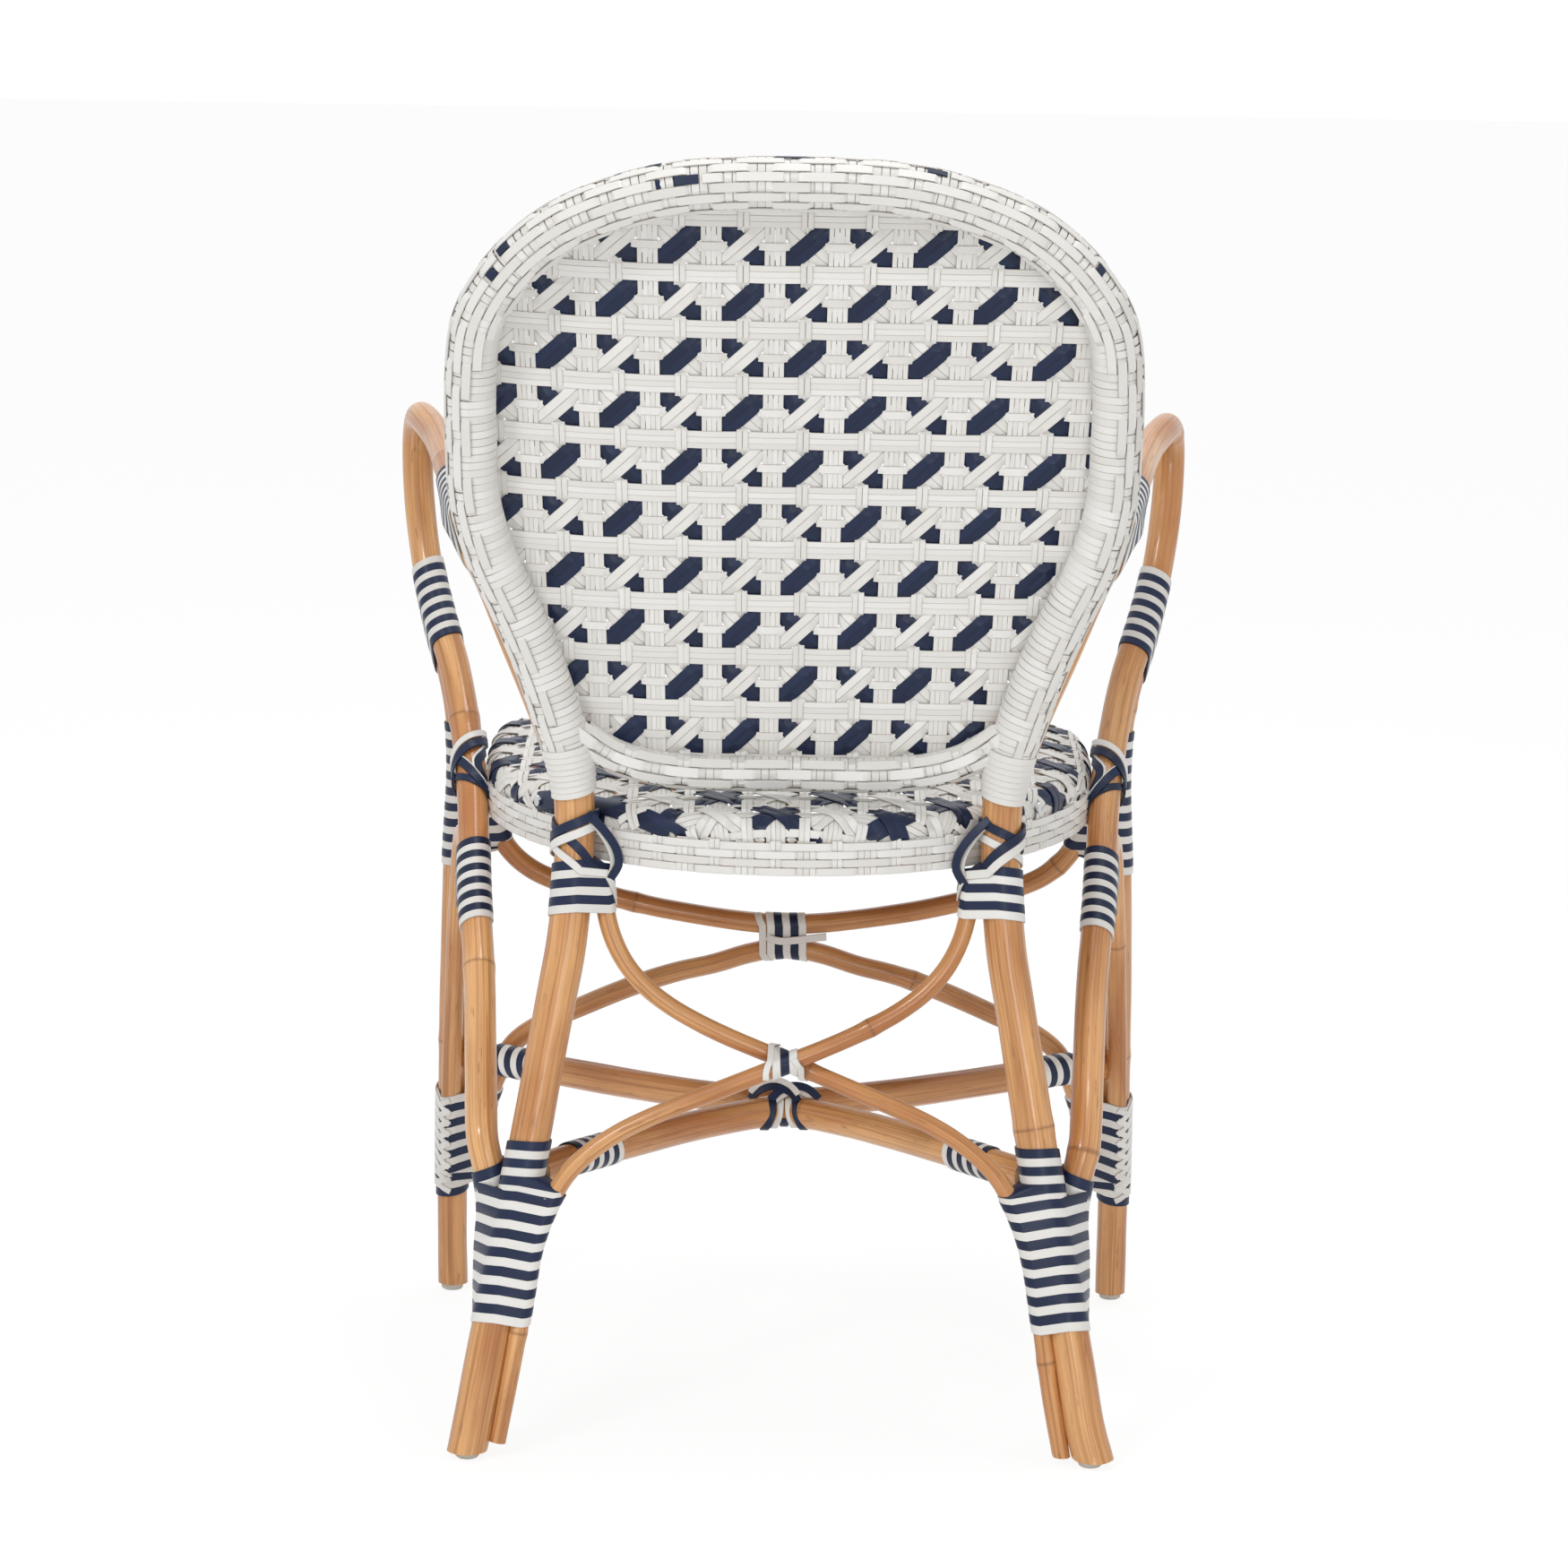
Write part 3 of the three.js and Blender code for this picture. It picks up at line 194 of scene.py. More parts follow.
def mixed_colour(nodes, links, amount, first, second):
    """first where amount is 0 and second where it is 1; either may be a socket or a colour."""
    mix = nodes.new("ShaderNodeMix")
    mix.data_type = "RGBA"
    links.new(amount, mix.inputs["Factor"])
    for socket, value in ((mix.inputs["A"], first), (mix.inputs["B"], second)):
        if isinstance(value, bpy.types.NodeSocket):
            links.new(value, socket)
        else:
            socket.default_value = (*value, 1.0)
    return mix.outputs["Result"]


def scaled(nodes, links, value, factor, add=0.0):
    """value times factor, plus add."""
    result = nodes.new("ShaderNodeMath")
    result.operation = "MULTIPLY_ADD"
    links.new(value, result.inputs[0])
    result.inputs[1].default_value = factor
    result.inputs[2].default_value = add
    return result.outputs["Value"]


def attribute_value(nodes, name):
    """A number that each point of a piece carries."""
    attribute = nodes.new("ShaderNodeAttribute")
    attribute.attribute_name = name
    return attribute.outputs["Fac"]


def bump_from(nodes, links, height, distance, strength, shader):
    """Raises the surface a little where height is 1."""
    bump = nodes.new("ShaderNodeBump")
    bump.inputs["Distance"].default_value = distance
    bump.inputs["Strength"].default_value = strength
    links.new(height, bump.inputs["Height"])
    links.new(bump.outputs["Normal"], shader.inputs["Normal"])


# %% [markdown]
# ## Rattan
#
# Rattan is a climbing palm. Its cane is pale gold with warm patches, fine fibres along its length, dark
# flecks, and a brown ring at each joint where a leaf grew. A clear lacquer gives it sharp highlights. A
# picture of wood would repeat from pole to pole, so layers of stretched noise are mixed instead.

# %% Rattan
RATTAN_PALE = (0.82, 0.450, 0.185)
RATTAN_WARM = (0.50, 0.195, 0.058)
RATTAN_FIBRE = (0.30, 0.105, 0.030)
RATTAN_RING = (0.17, 0.062, 0.020)
RATTAN_CUT = (0.66, 0.44, 0.25)


def rattan_material():
    material, nodes, links, shader = new_material("lacquered rattan")
    patches = noise(nodes, links, (46, 46, 7), 4, 0.38, 0.66)
    fibres = noise(nodes, links, (900, 900, 7), 4, 0.48, 0.68)
    streaks = noise(nodes, links, (330, 330, 5), 3, 0.5, 0.66)
    flecks = noise(nodes, links, (300, 300, 46), 2, 0.64, 0.74)
    colour = mixed_colour(nodes, links, patches, RATTAN_PALE, RATTAN_WARM)
    tone = scaled(nodes, links, attribute_value(nodes, "tone"), 0.4)
    colour = mixed_colour(nodes, links, tone, colour, RATTAN_WARM)
    colour = mixed_colour(nodes, links, scaled(nodes, links, streaks, 0.46), colour, RATTAN_FIBRE)
    colour = mixed_colour(nodes, links, scaled(nodes, links, fibres, 0.5), colour, RATTAN_FIBRE)
    colour = mixed_colour(nodes, links, scaled(nodes, links, flecks, 0.4), colour, RATTAN_RING)
    colour = mixed_colour(nodes, links, attribute_value(nodes, "cane_ring"), colour, RATTAN_RING)
    colour = mixed_colour(nodes, links, attribute_value(nodes, "sawn"), colour, RATTAN_CUT)
    links.new(colour, shader.inputs["Base Color"])
    links.new(scaled(nodes, links, fibres, 0.16, 0.3), shader.inputs["Roughness"])
    shader.inputs["Coat Weight"].default_value = 0.34
    shader.inputs["Coat Roughness"].default_value = 0.12
    shader.inputs["Specular IOR Level"].default_value = 0.38
    bump_from(nodes, links, fibres, 0.15 * MM, 0.5, shader)
    return material


# %% [markdown]
# ## Strips, feet and screws
#
# The weave and the lashings are extruded plastic strip, off-white and navy. Up close it has very fine
# ribs along its length and its tone differs a little from strip to strip, so each strip carries a tone
# of its own. The feet are plain moulded plastic and the screws bright steel, both with a fine grain.

# %% Strips, feet and screws
def strip_material(name, colour, shade, edge, roughness, shine):
    """Extruded plastic strip: an even colour, a little tone from strip to strip, fine ribs, painted shade on
    its edges.
    """
    material, nodes, links, shader = new_material(name)
    ribs = noise(nodes, links, (2400, 2400, 10), 2, 0.35, 0.7)
    clouds = noise(nodes, links, (60, 60, 30), 2, 0.3, 0.75)
    tone = scaled(nodes, links, attribute_value(nodes, "tone"), 0.8)
    body = mixed_colour(nodes, links, tone, colour, shade)
    body = mixed_colour(nodes, links, scaled(nodes, links, clouds, 0.3), body, shade)
    # The sides of each strip are pulled towards the edge colour: painted shade in the gaps between strips.
    body = mixed_colour(nodes, links, scaled(nodes, links, attribute_value(nodes, "edge"), 0.7), body, edge)
    links.new(body, shader.inputs["Base Color"])
    links.new(scaled(nodes, links, ribs, 0.16, roughness), shader.inputs["Roughness"])
    shader.inputs["Specular IOR Level"].default_value = shine
    bump_from(nodes, links, ribs, 0.05 * MM, 0.4, shader)
    return material


def grained_material(name, first, second, grain_size, roughness, metallic):
    """Plain plastic or steel with a fine grain in space."""
    material, nodes, links, shader = new_material(name)
    coordinates = nodes.new("ShaderNodeTexCoord")
    grain = nodes.new("ShaderNodeTexNoise")
    grain.inputs["Scale"].default_value = grain_size
    links.new(coordinates.outputs["Object"], grain.inputs["Vector"])
    links.new(mixed_colour(nodes, links, grain.outputs["Fac"], first, second), shader.inputs["Base Color"])
    links.new(scaled(nodes, links, grain.outputs["Fac"], 0.2, roughness), shader.inputs["Roughness"])
    shader.inputs["Metallic"].default_value = metallic
    bump_from(nodes, links, grain.outputs["Fac"], 0.08 * MM, 0.4, shader)
    return material


FINISHES = {
    "rattan": rattan_material(),
    # The third colour of each strip is its edge colour, the painted shade in the gaps between strips.
    "pale_weave": strip_material(
        "off-white strip", (0.83, 0.82, 0.79), (0.71, 0.69, 0.65), (0.30, 0.25, 0.20), 0.36, 0.45
    ),
    "navy_strip": strip_material(
        "navy strip", (0.014, 0.025, 0.070), (0.009, 0.016, 0.042), (0.004, 0.006, 0.016), 0.32, 0.28
    ),
    "glide_plastic": grained_material("moulded foot", (0.66, 0.64, 0.58), (0.56, 0.54, 0.48), 900, 0.4, 0.0),
    "screw_steel": grained_material("bright steel", (0.66, 0.67, 0.69), (0.5, 0.51, 0.53), 1600, 0.18, 1.0),
}
print("finishes:", ", ".join(finish.name for finish in FINISHES.values()))

# %% [markdown]
# ## Turning points into pieces
#
# A piece is one mesh that rides on the chair's only body. The helper also stores the attributes that the
# materials read, keeps sharp edges sharp, and hides the CAD nodes that the piece stands for.

# %% Pieces
SHARP_ANGLE = math.radians(30)


def add_piece(name, points, faces, values, slot, replaced=()):
    """Makes one mesh of the chair. values holds the attributes, by name."""
    mesh = bpy.data.meshes.new(name)
    mesh.from_pydata(points.tolist(), [], faces)
    for key, value in values.items():
        kind, field = ("FLOAT_VECTOR", "vector") if value.ndim == 2 else ("FLOAT", "value")
        layer = mesh.attributes.new(key, kind, "POINT")
        layer.data.foreach_set(field, value.astype(np.float32).ravel())
    mesh.shade_smooth()
    mesh.set_sharp_from_angle(angle=SHARP_ANGLE)
    mesh.materials.append(FINISHES[slot])
    piece = bpy.data.objects.new(name, mesh)
    bpy.context.scene.collection.objects.link(piece)
    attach(piece, "root")
    if replaced:
        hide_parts(*replaced)
    return piece


def tube_faces(rings, sides, closed=False):
    """Faces between neighbouring rings of points, and at both ends unless the tube is closed."""
    faces = []
    for ring in range(rings if closed else rings - 1):
        ahead = (ring + 1) % rings * sides
        here = ring * sides
        for i in range(sides):
            j = (i + 1) % sides
            faces.append((here + i, here + j, ahead + j, ahead + i))
    if not closed:
        faces.append(tuple(reversed(range(sides))))
        faces.append(tuple(range((rings - 1) * sides, rings * sides)))
    return faces


# %% [markdown]
# ## Strips
#
# A strip is a flat ribbon with thin, slightly broken edges. Hundreds of strips lie side by side in the
# weave, and separate objects for all of them would be slow to handle, so a small class gathers them into
# one mesh. Each strip is given by its two edges and by the direction that points away from what it lies on.

# %% Strip maker
STRIP_ACROSS = np.array([-0.5, -0.5, -0.43, 0.43, 0.5, 0.5])
STRIP_HEIGHT = np.array([-0.5, 0.15, 0.5, 0.5, 0.15, -0.5])
# How far each corner of the section is pulled to the edge colour: painted shade on the strip's sides.
STRIP_EDGE_SHADE = np.array([1.0, 0.8, 0.0, 0.0, 0.8, 1.0])


class Strips:
    """Many strips that become one mesh."""

    def __init__(self):
        self.points, self.faces, self.straight, self.tone, self.edge = [], [], [], [], []
        self.count = 0

    def add_edges(self, left, right, out, thickness):
        rows, sides = len(left), len(STRIP_ACROSS)
        if rows < LEAST_RUN:
            return
        across = right - left
        middle = (left + right) / 2
        section = (
            middle[:, None]
            + across[:, None] * STRIP_ACROSS[None, :, None]
            + out[:, None] * (STRIP_HEIGHT * thickness)[None, :, None]
        )
        flat = np.zeros((rows, sides, 3))
        flat[..., 0] = np.linalg.norm(across, axis=1)[:, None] * STRIP_ACROSS
        flat[..., 1] = STRIP_HEIGHT * thickness
        flat[..., 2] = lengths_along(middle)[:, None] + luck.uniform(0, 50)
        self.points.append(section.reshape(-1, 3))
        self.straight.append(flat.reshape(-1, 3))
        self.tone.append(np.full(rows * sides, luck.random()))
        self.edge.append(np.tile(STRIP_EDGE_SHADE, rows))
        self.faces += [tuple(i + self.count for i in face) for face in tube_faces(rows, sides)]
        self.count += rows * sides

    def add(self, middle, out, width, thickness):
        """A strip along a line; width is a number or has a value for each point."""
        side = unit(np.cross(headings(middle), out)) * (np.ones(len(middle)) * width / 2)[:, None]
        self.add_edges(middle - side, middle + side, out, thickness)

    def finish(self, name, slot, replaced=()):
        if self.points:
            values = {
                "straight": np.vstack(self.straight),
                "tone": np.concatenate(self.tone),
                # edge holds the painted shade on the sides of the strips.
                "edge": np.concatenate(self.edge),
            }
            add_piece(name, np.vstack(self.points), self.faces, values, slot, replaced)
            print(f"{name}: {len(self.tone)} strips")


# %% [markdown]
# ## Reading the poles
#
# A bent pole could be drawn again by hand, but then it might drift from the CAD. In the frame each pole
# is a sweep: rings of corners, one after another. A corner moved inwards by the pole's radius lands on
# the middle line, and all corners of one ring land together. So the rings are found again, put in order,
# and a smooth line is drawn through their middles. Corners of a hollowed end aren't round, and are left out.

# %% Poles from the frame
RING_REACH_SHARE = 0.6
RING_ROUND_SHARE = 0.25
RING_LEAST = 7


def mesh_of(node):
    """Corners and triangles of a CAD node, with doubled corners joined."""
    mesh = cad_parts[node].data
    corners, index = np.unique(
        np.round([tuple(v.co) for v in mesh.vertices], 6), axis=0, return_inverse=True
    )
    mesh.calc_loop_triangles()
    triangles = index.reshape(-1)[np.array([tuple(t.vertices) for t in mesh.loop_triangles])]
    return corners, triangles


def ring_middles(node, radius):
    """The middles of the rings that a swept pole is made of, in no order, and its corners."""
    corners, triangles = mesh_of(node)
    a, b, c = (corners[triangles[:, i]] for i in range(3))
    normals = np.zeros_like(corners)
    for i in range(3):
        np.add.at(normals, triangles[:, i], np.cross(b - a, c - a))
    landed = corners - radius * unit(normals)
    free = np.ones(len(corners), bool)
    middles = []
    for i in range(len(corners)):
        together = free & (np.linalg.norm(landed - landed[i], axis=1) < RING_REACH_SHARE * radius)
        if free[i] and together.sum() >= RING_LEAST:
            middle = corners[together].mean(axis=0)
            off = np.linalg.norm(corners[together] - middle, axis=1) / radius - 1
            if np.abs(off).max() < RING_ROUND_SHARE:
                middles.append(middle)
                free &= ~together
    return np.array(middles), corners


def pole_line(node, radius, start):
    """The smooth middle line of a pole, from the end nearest to start."""
    middles, corners = ring_middles(node, radius)
    order = [int(np.argmin(np.linalg.norm(middles - np.array(start), axis=1)))]
    left = set(range(len(middles))) - set(order)
    while left:
        nearest = min(left, key=lambda i: np.linalg.norm(middles[i] - middles[order[-1]]))
        order.append(nearest)
        left.discard(nearest)
    line = middles[order]
    for end, inner in ((0, 1), (-1, -2)):
        ahead = unit(line[end] - line[inner])
        near = corners[np.linalg.norm(corners - line[end], axis=1) < 4 * radius]
        line[end] = line[end] + ahead * max(0.0, float(((near - line[end]) @ ahead).max()))
    return smooth_line(line)


RADIUS = {
    "hoop_and_rear_legs": 14 * MM,
    "arm_pole": 11.25 * MM,
    "front_leg": 11.25 * MM,
    "arm_upright": 8.5 * MM,
    "side_arch": 7.5 * MM,
    "front_upper_arc": 7.5 * MM,
    "front_lower_arch": 7.5 * MM,
    "rear_cross_brace_front": 6.25 * MM,
    "rear_cross_brace_rear": 6.25 * MM,
    "front_stretcher_bow": 11 * MM,
    "rear_stretcher_bow": 11 * MM,
    "back_lower_rail": 9 * MM,
}
SIDES = (("left", 1), ("right", -1))


def start_of(kind, side):
    """A point beyond the end where a pole's line begins: a foot, or the sitter's left."""
    starts = {
        "side_arch": (side * 0.25, -1.0, 0.0),
        "arm_upright": (side * 0.1, 0.1, 0.0),
        "arm_pole": (side, 0.3, -1.0),
        "front_leg": (side, 0.0, -1.0),
        "hoop_and_rear_legs": (0.25, 0.25, -0.2),
        "rear_cross_brace_front": (0.2, 0.2, 1.0),
        "rear_cross_brace_rear": (-0.2, 0.2, 1.0),
    }
    return starts.get(kind, (side, 0.0, 0.0))


def shortened(line, cut):
    """A line without a short length at both ends; the bows end inside the legs that they are notched to."""
    along = lengths_along(line)
    return line[(along > cut) & (along < along[-1] - cut)]


lines = {}
for kind, radius in RADIUS.items():
    twins = [(f"{word}_{kind}", side) for word, side in SIDES if f"{word}_{kind}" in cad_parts]
    for node, side in twins or [(kind, 1)]:
        line = pole_line(node, radius, start_of(kind, side))
        lines[node] = (shortened(line, 7 * MM) if kind.endswith("stretcher_bow") else line, radius)
for name, (line, radius) in lines.items():
    print(f"{name}: {lengths_along(line)[-1]:.3f} m long, {2 * radius / MM:.1f} mm thick")

# %% [markdown]
# ## Poles
#
# A rattan pole isn't turned on a lathe. Its thickness wanders a little, and every hand or two it has a
# joint where a leaf grew: a low swelling with a dark ring. It ends in a clean saw cut, paler than its
# skin. A bevelled curve would give an even tube, so rings of points are made with a radius of their own.
# The feet are cut level with the tops of the glides, and points below that are pressed flat.

# %% Poles
POLE_SIDES = 24
JOINT_SPACING = 0.29
JOINT_SWELL = 0.5 * MM
JOINT_LENGTH = 5 * MM
RING_WIDTH = 1.1 * MM
RING_DARK_SHARE = 0.55
CUT_BEVEL = 1.0 * MM
FLOOR_ZONE = 30 * MM
CLOSED_TRIM = 0.1 * MM
FOOT_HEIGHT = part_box("hoop_and_rear_legs")[0].z


def wander(along, size, spacing):
    """A slow, seeded wave, as growth leaves it."""
    phases = [luck.uniform(0, 2 * math.pi) for _ in range(3)]
    waves = [np.sin(2 * math.pi * along / (spacing * k) + p) for k, p in zip((1, 1.7, 0.43), phases)]
    return size * (waves[0] + 0.6 * waves[1] + 0.4 * waves[2])


def with_ends(rows):
    """Rows with the first and the last one doubled, for the bevel of a saw cut."""
    return np.concatenate([rows[:1], rows, rows[-1:]])


def make_pole(name, line, radius, closed=False):
    """A pole along a line, with its joints, its wandering thickness and its sawn ends."""
    along = lengths_along(line)
    joints = np.arange(luck.uniform(0.05, JOINT_SPACING), along[-1], JOINT_SPACING)
    joints = joints + np.array([luck.uniform(-0.06, 0.06) for _ in joints])
    fine = np.concatenate([along] + [joint + np.array([-2, -1, 0, 1, 2]) * RING_WIDTH for joint in joints])
    if not closed:
        fine = np.unique(np.clip(fine, 0, along[-1]))
        line, along = picked(fine, along, line), fine
        ahead, sides = with_ends(headings(line)), with_ends(carried_sides(line))
        line, along = with_ends(line), with_ends(along)
    else:
        ahead = headings(picked(np.clip(along, CLOSED_TRIM, along[-1] - CLOSED_TRIM), along, line))
        sides = np.tile([0.0, 0.0, 1.0], (len(line), 1))
    other = np.cross(ahead, sides)
    away = np.abs(along[:, None] - joints[None, :]).min(axis=1) if len(joints) else along + 1
    thick = radius + wander(along, 0.10 * MM, 0.13) * (not closed)
    thick = thick + JOINT_SWELL * np.exp(-((away / JOINT_LENGTH) ** 2)) * (not closed)
    sawn = np.zeros(len(line))
    if not closed:
        thick[[0, -1]] -= CUT_BEVEL
        sawn[[0, -1]] = 1.0
    turns = np.linspace(0, 2 * math.pi, POLE_SIDES, endpoint=False)
    round_ = sides[:, None] * np.cos(turns)[None, :, None] + other[:, None] * np.sin(turns)[None, :, None]
    points = (line[:, None] + round_ * thick[:, None, None]).reshape(-1, 3)
    if line[:, 2].min() < FLOOR_ZONE:
        points[:, 2] = np.maximum(points[:, 2], FOOT_HEIGHT)
    straight = np.zeros((len(line), POLE_SIDES, 3))
    straight[..., 0] = radius * np.cos(turns)
    straight[..., 1] = radius * np.sin(turns)
    straight[..., 2] = along[:, None] + luck.uniform(0, 30)
    values = {
        "straight": straight.reshape(-1, 3),
        "cane_ring": np.repeat(np.exp(-((away / RING_WIDTH) ** 2)) * RING_DARK_SHARE, POLE_SIDES),
        "sawn": np.repeat(sawn, POLE_SIDES),
        "tone": np.full(len(points), luck.random()),
    }
    add_piece(f"{name}_cane", points, tube_faces(len(line), POLE_SIDES, closed), values, "rattan", [name])


for name, (line, radius) in lines.items():
    make_pole(name, line, radius)
for found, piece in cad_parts.items():
    for ending, slot in (("glide", "glide_plastic"), ("screw", "screw_steel")):
        if found.endswith(ending):
            piece.data.materials.clear()
            piece.data.materials.append(FINISHES[slot])
print("poles:", len(lines))

# %% [markdown]
# ## The seat's outline
#
# The seat is squarer in front than behind. One formula gives the edge: a stretched circle whose power
# sets how square each half is. The ring under the seat, the thin hoop of the apron and the weave all
# follow the same edge at different insets, so it is worth a function. The ring sits a little lower than
# in the CAD, so that the crowned weave meets it on the seat's height.

# %% Seat outline
seat_low, seat_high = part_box("seat_apron_weave")
SEAT_HALF_WIDTH = seat_high.x
SEAT_MIDDLE_Y = seat_low.y + 142 * MM
SEAT_REACH = {1: seat_high.y - SEAT_MIDDLE_Y, -1: SEAT_MIDDLE_Y - seat_low.y}
SEAT_SQUARENESS = {1: 2.1, -1: 5.5}
EDGE_LOOKS = 1201


def seat_edge(turns, inset=0.0):
    """Points and outward directions round the seat's edge."""
    c, s = np.cos(turns), np.sin(turns)
    power = np.where(s > 0, SEAT_SQUARENESS[1], SEAT_SQUARENESS[-1])
    reach = np.where(s > 0, SEAT_REACH[1], SEAT_REACH[-1])
    x = SEAT_HALF_WIDTH * np.sign(c) * np.abs(c) ** (2 / power)
    y = SEAT_MIDDLE_Y + reach * np.sign(s) * np.abs(s) ** (2 / power)
    outward = np.stack(
        [
            np.sign(c) * np.abs(c) ** (2 - 2 / power) / SEAT_HALF_WIDTH,
            np.sign(s) * np.abs(s) ** (2 - 2 / power) / reach,
        ],
        axis=1,
    )
    outward = unit(outward)
    return np.stack([x, y], axis=1) - outward * inset, outward


edge_points, edge_out = seat_edge(np.linspace(0, 2 * math.pi, EDGE_LOOKS))
edge_along = lengths_along(np.pad(edge_points, ((0, 0), (0, 1))))
edge_length = edge_along[-1]


def edge_at(along, inset=0.0):
    """Points and outward directions at lengths round the seat's edge."""
    out = unit(picked(along % edge_length, edge_along, edge_out))
    return picked(along % edge_length, edge_along, edge_points) - out * inset, out


RING_SETTLE = 4 * MM
for name, radius, settle in (("seat_ring", 10.6 * MM, RING_SETTLE), ("apron_hoop", 5.3 * MM, 0)):
    low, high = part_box(name)
    alongs = np.arange(0, edge_length, LINE_STEP)
    flat, _ = edge_at(alongs, SEAT_HALF_WIDTH - high.x + radius)
    height = (low.z + high.z) / 2 - settle
    make_pole(name, np.pad(flat, ((0, 0), (0, 1)), constant_values=height), radius, closed=True)
low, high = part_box("seat_bearer")
bearer_height = (low.z + high.z) / 2
bearer_ends = np.array([(0, low.y, bearer_height), (0, high.y, bearer_height)])
make_pole("seat_bearer", even_line(bearer_ends), high.x)
print(f"seat edge: {edge_length:.3f} m round")

# %% [markdown]
# ## The weave
#
# Back and seat use the same cane pattern. Wide and narrow bands run up and across in turn, and pairs of
# strips run both ways on the slant. Slanted bands pass under the wide crossings and come up in the open
# squares between them, where they cross again. Every second slanted band is navy, so each open square
# shows one navy band, long where it lies on top and cut short where it lies below. A flat picture would
# fail in a low light, so each strip is laid over and under the others by a wave in its height.

# %% Weave
STRIP_THICKNESS = 0.75 * MM
WEAVE_STEP = 2.2 * MM
WEAVE_CELL = 40 * MM
STRIP_FILL_SHARE = 0.985
NAVY_FILL_SHARE = 1.03
SQUARE_ROOT = math.sqrt(0.5)


def wave(at):
    """1 at whole numbers and -1 halfway."""
    return np.cos(2 * math.pi * at)


def near_whole(at, flat_share, soft_share):
    """1 near whole numbers, 0 away from them; the shares are of one cell."""
    away = np.abs((at + 0.5) % 1.0 - 0.5)
    return 1 - smooth_step((away - flat_share) / soft_share)


class Weave:
    """A woven sheet. surface(u, v) gives points, outward directions and which points are kept."""

    def __init__(self, surface, facing, odd_navy):
        self.surface, self.facing, self.odd_navy = surface, facing, odd_navy
        self.pale, self.navy = Strips(), Strips()

    def band(self, u, v, across, height, strip_count, strip_width, navy=False):
        """One band of the pattern: a few strips side by side along the line (u, v)."""
        gather = self.navy if navy else self.pale
        for i in range(strip_count):
            offset = ((i - (strip_count - 1) / 2) * strip_width + luck.uniform(-0.1, 0.1) * MM) / WEAVE_CELL
            base, out, kept = self.surface(u + across[0] * offset, v + across[1] * offset)
            middle = base + out * (self.facing * height + luck.uniform(-0.06, 0.06) * MM)[:, None]
            for run in runs_of(kept):
                gather.add(middle[run], out[run], strip_width * STRIP_FILL_SHARE, STRIP_THICKNESS)

    def slanted(self, n, steps, first, last, sign, height):
        """A slanted band of two strips; each edge dips by itself where it passes a wide crossing."""
        u = np.linspace(first, last, max(LEAST_RUN, round(math.sqrt(2) * (last - first) * steps)))
        v = sign * (u - n)
        navy = n % 2 == self.odd_navy
        gather, width, fill = (
            (self.navy, 6.7 * MM, NAVY_FILL_SHARE) if navy else (self.pale, 5.9 * MM, STRIP_FILL_SHARE)
        )
        for strip in (-0.5, 0.5):
            edges = []
            for edge in (-0.5, 0.5):
                offset = (strip + edge * fill) * width * SQUARE_ROOT / WEAVE_CELL
                edge_u, edge_v = u + sign * offset, v - offset
                base, out, kept = self.surface(edge_u, edge_v)
                under = np.maximum(near_whole(edge_u, 0.175, 0.11), near_whole(edge_v, 0.17, 0.11))
                lift = self.facing * (height + 0.12 * (strip > 0) - 2.1 * under) * MM
                edges.append((base + out * lift[:, None], kept))
            (left, left_kept), (right, right_kept) = edges
            for run in runs_of(left_kept & right_kept):
                gather.add_edges(left[run], right[run], out[run], STRIP_THICKNESS)

    def lay(self, u_range, v_range):
        """Lays all bands of the pattern over the given ranges of whole cells."""
        (u0, u1), (v0, v1) = u_range, v_range
        steps = WEAVE_CELL / WEAVE_STEP
        us = np.linspace(u0, u1, round((u1 - u0) * steps))
        vs = np.linspace(v0, v1, round((v1 - v0) * steps))
        for k in range(u0, u1 + 1):
            self.band(np.full_like(vs, k), vs, (1, 0), -0.25 * MM * wave(vs), 4, 3.35 * MM)
            height = (-1.3 + 2.1 * near_whole(vs, 0.145, 0.07)) * MM
            self.band(np.full_like(vs, k + 0.5), vs, (1, 0), height, 2, 3.9 * MM)
        for m in range(v0, v1 + 1):
            self.band(us, np.full_like(us, m), (0, 1), (0.25 + 0.4 * wave(us)) * MM, 3, 4.25 * MM)
            height = (-0.6 + 1.65 * near_whole(us, 0.15, 0.07)) * MM
            self.band(us, np.full_like(us, m + 0.5), (0, 1), height, 1, 5.8 * MM)
        for n in range(u0 - v1, u1 - v0 + 1):
            low, high = max(u0, n + v0), min(u1, n + v1)
            if high > low:
                self.slanted(n, steps, low, high, 1, 1.0)
        for n in range(u0 + v0, u1 + v1 + 1):
            low, high = max(u0, n - v1), min(u1, n - v0)
            if high > low:
                self.slanted(n, steps, low, high, -1, 0.2)


# %% [markdown]
# ## Back panel
#
# The panel is stretched over the hoop and leans back with it. Its columns spread a little towards the
# top, as the weaver fans them out, and its rows rise slightly at the sides. It could be cut with a
# boolean, but strips that simply end under the border's sleeve are what the real chair has.

# %% Back panel
hoop_line, hoop_radius = lines["hoop_and_rear_legs"]
rail_line, rail_radius = lines["back_lower_rail"]
crown = hoop_line[np.argmax(hoop_line[:, 2])]
shoulder = hoop_line[np.argmin(np.abs(hoop_line[: len(hoop_line) // 2, 2] - 0.60))]
lean = math.atan2(crown[1] - shoulder[1], crown[2] - shoulder[2])
UP_BACK = np.array([0.0, math.sin(lean), math.cos(lean)])
REARWARD = np.array([0.0, math.cos(lean), -math.sin(lean)])
panel_depth = float((mesh_of("back_panel_weave")[0] @ REARWARD).mean())

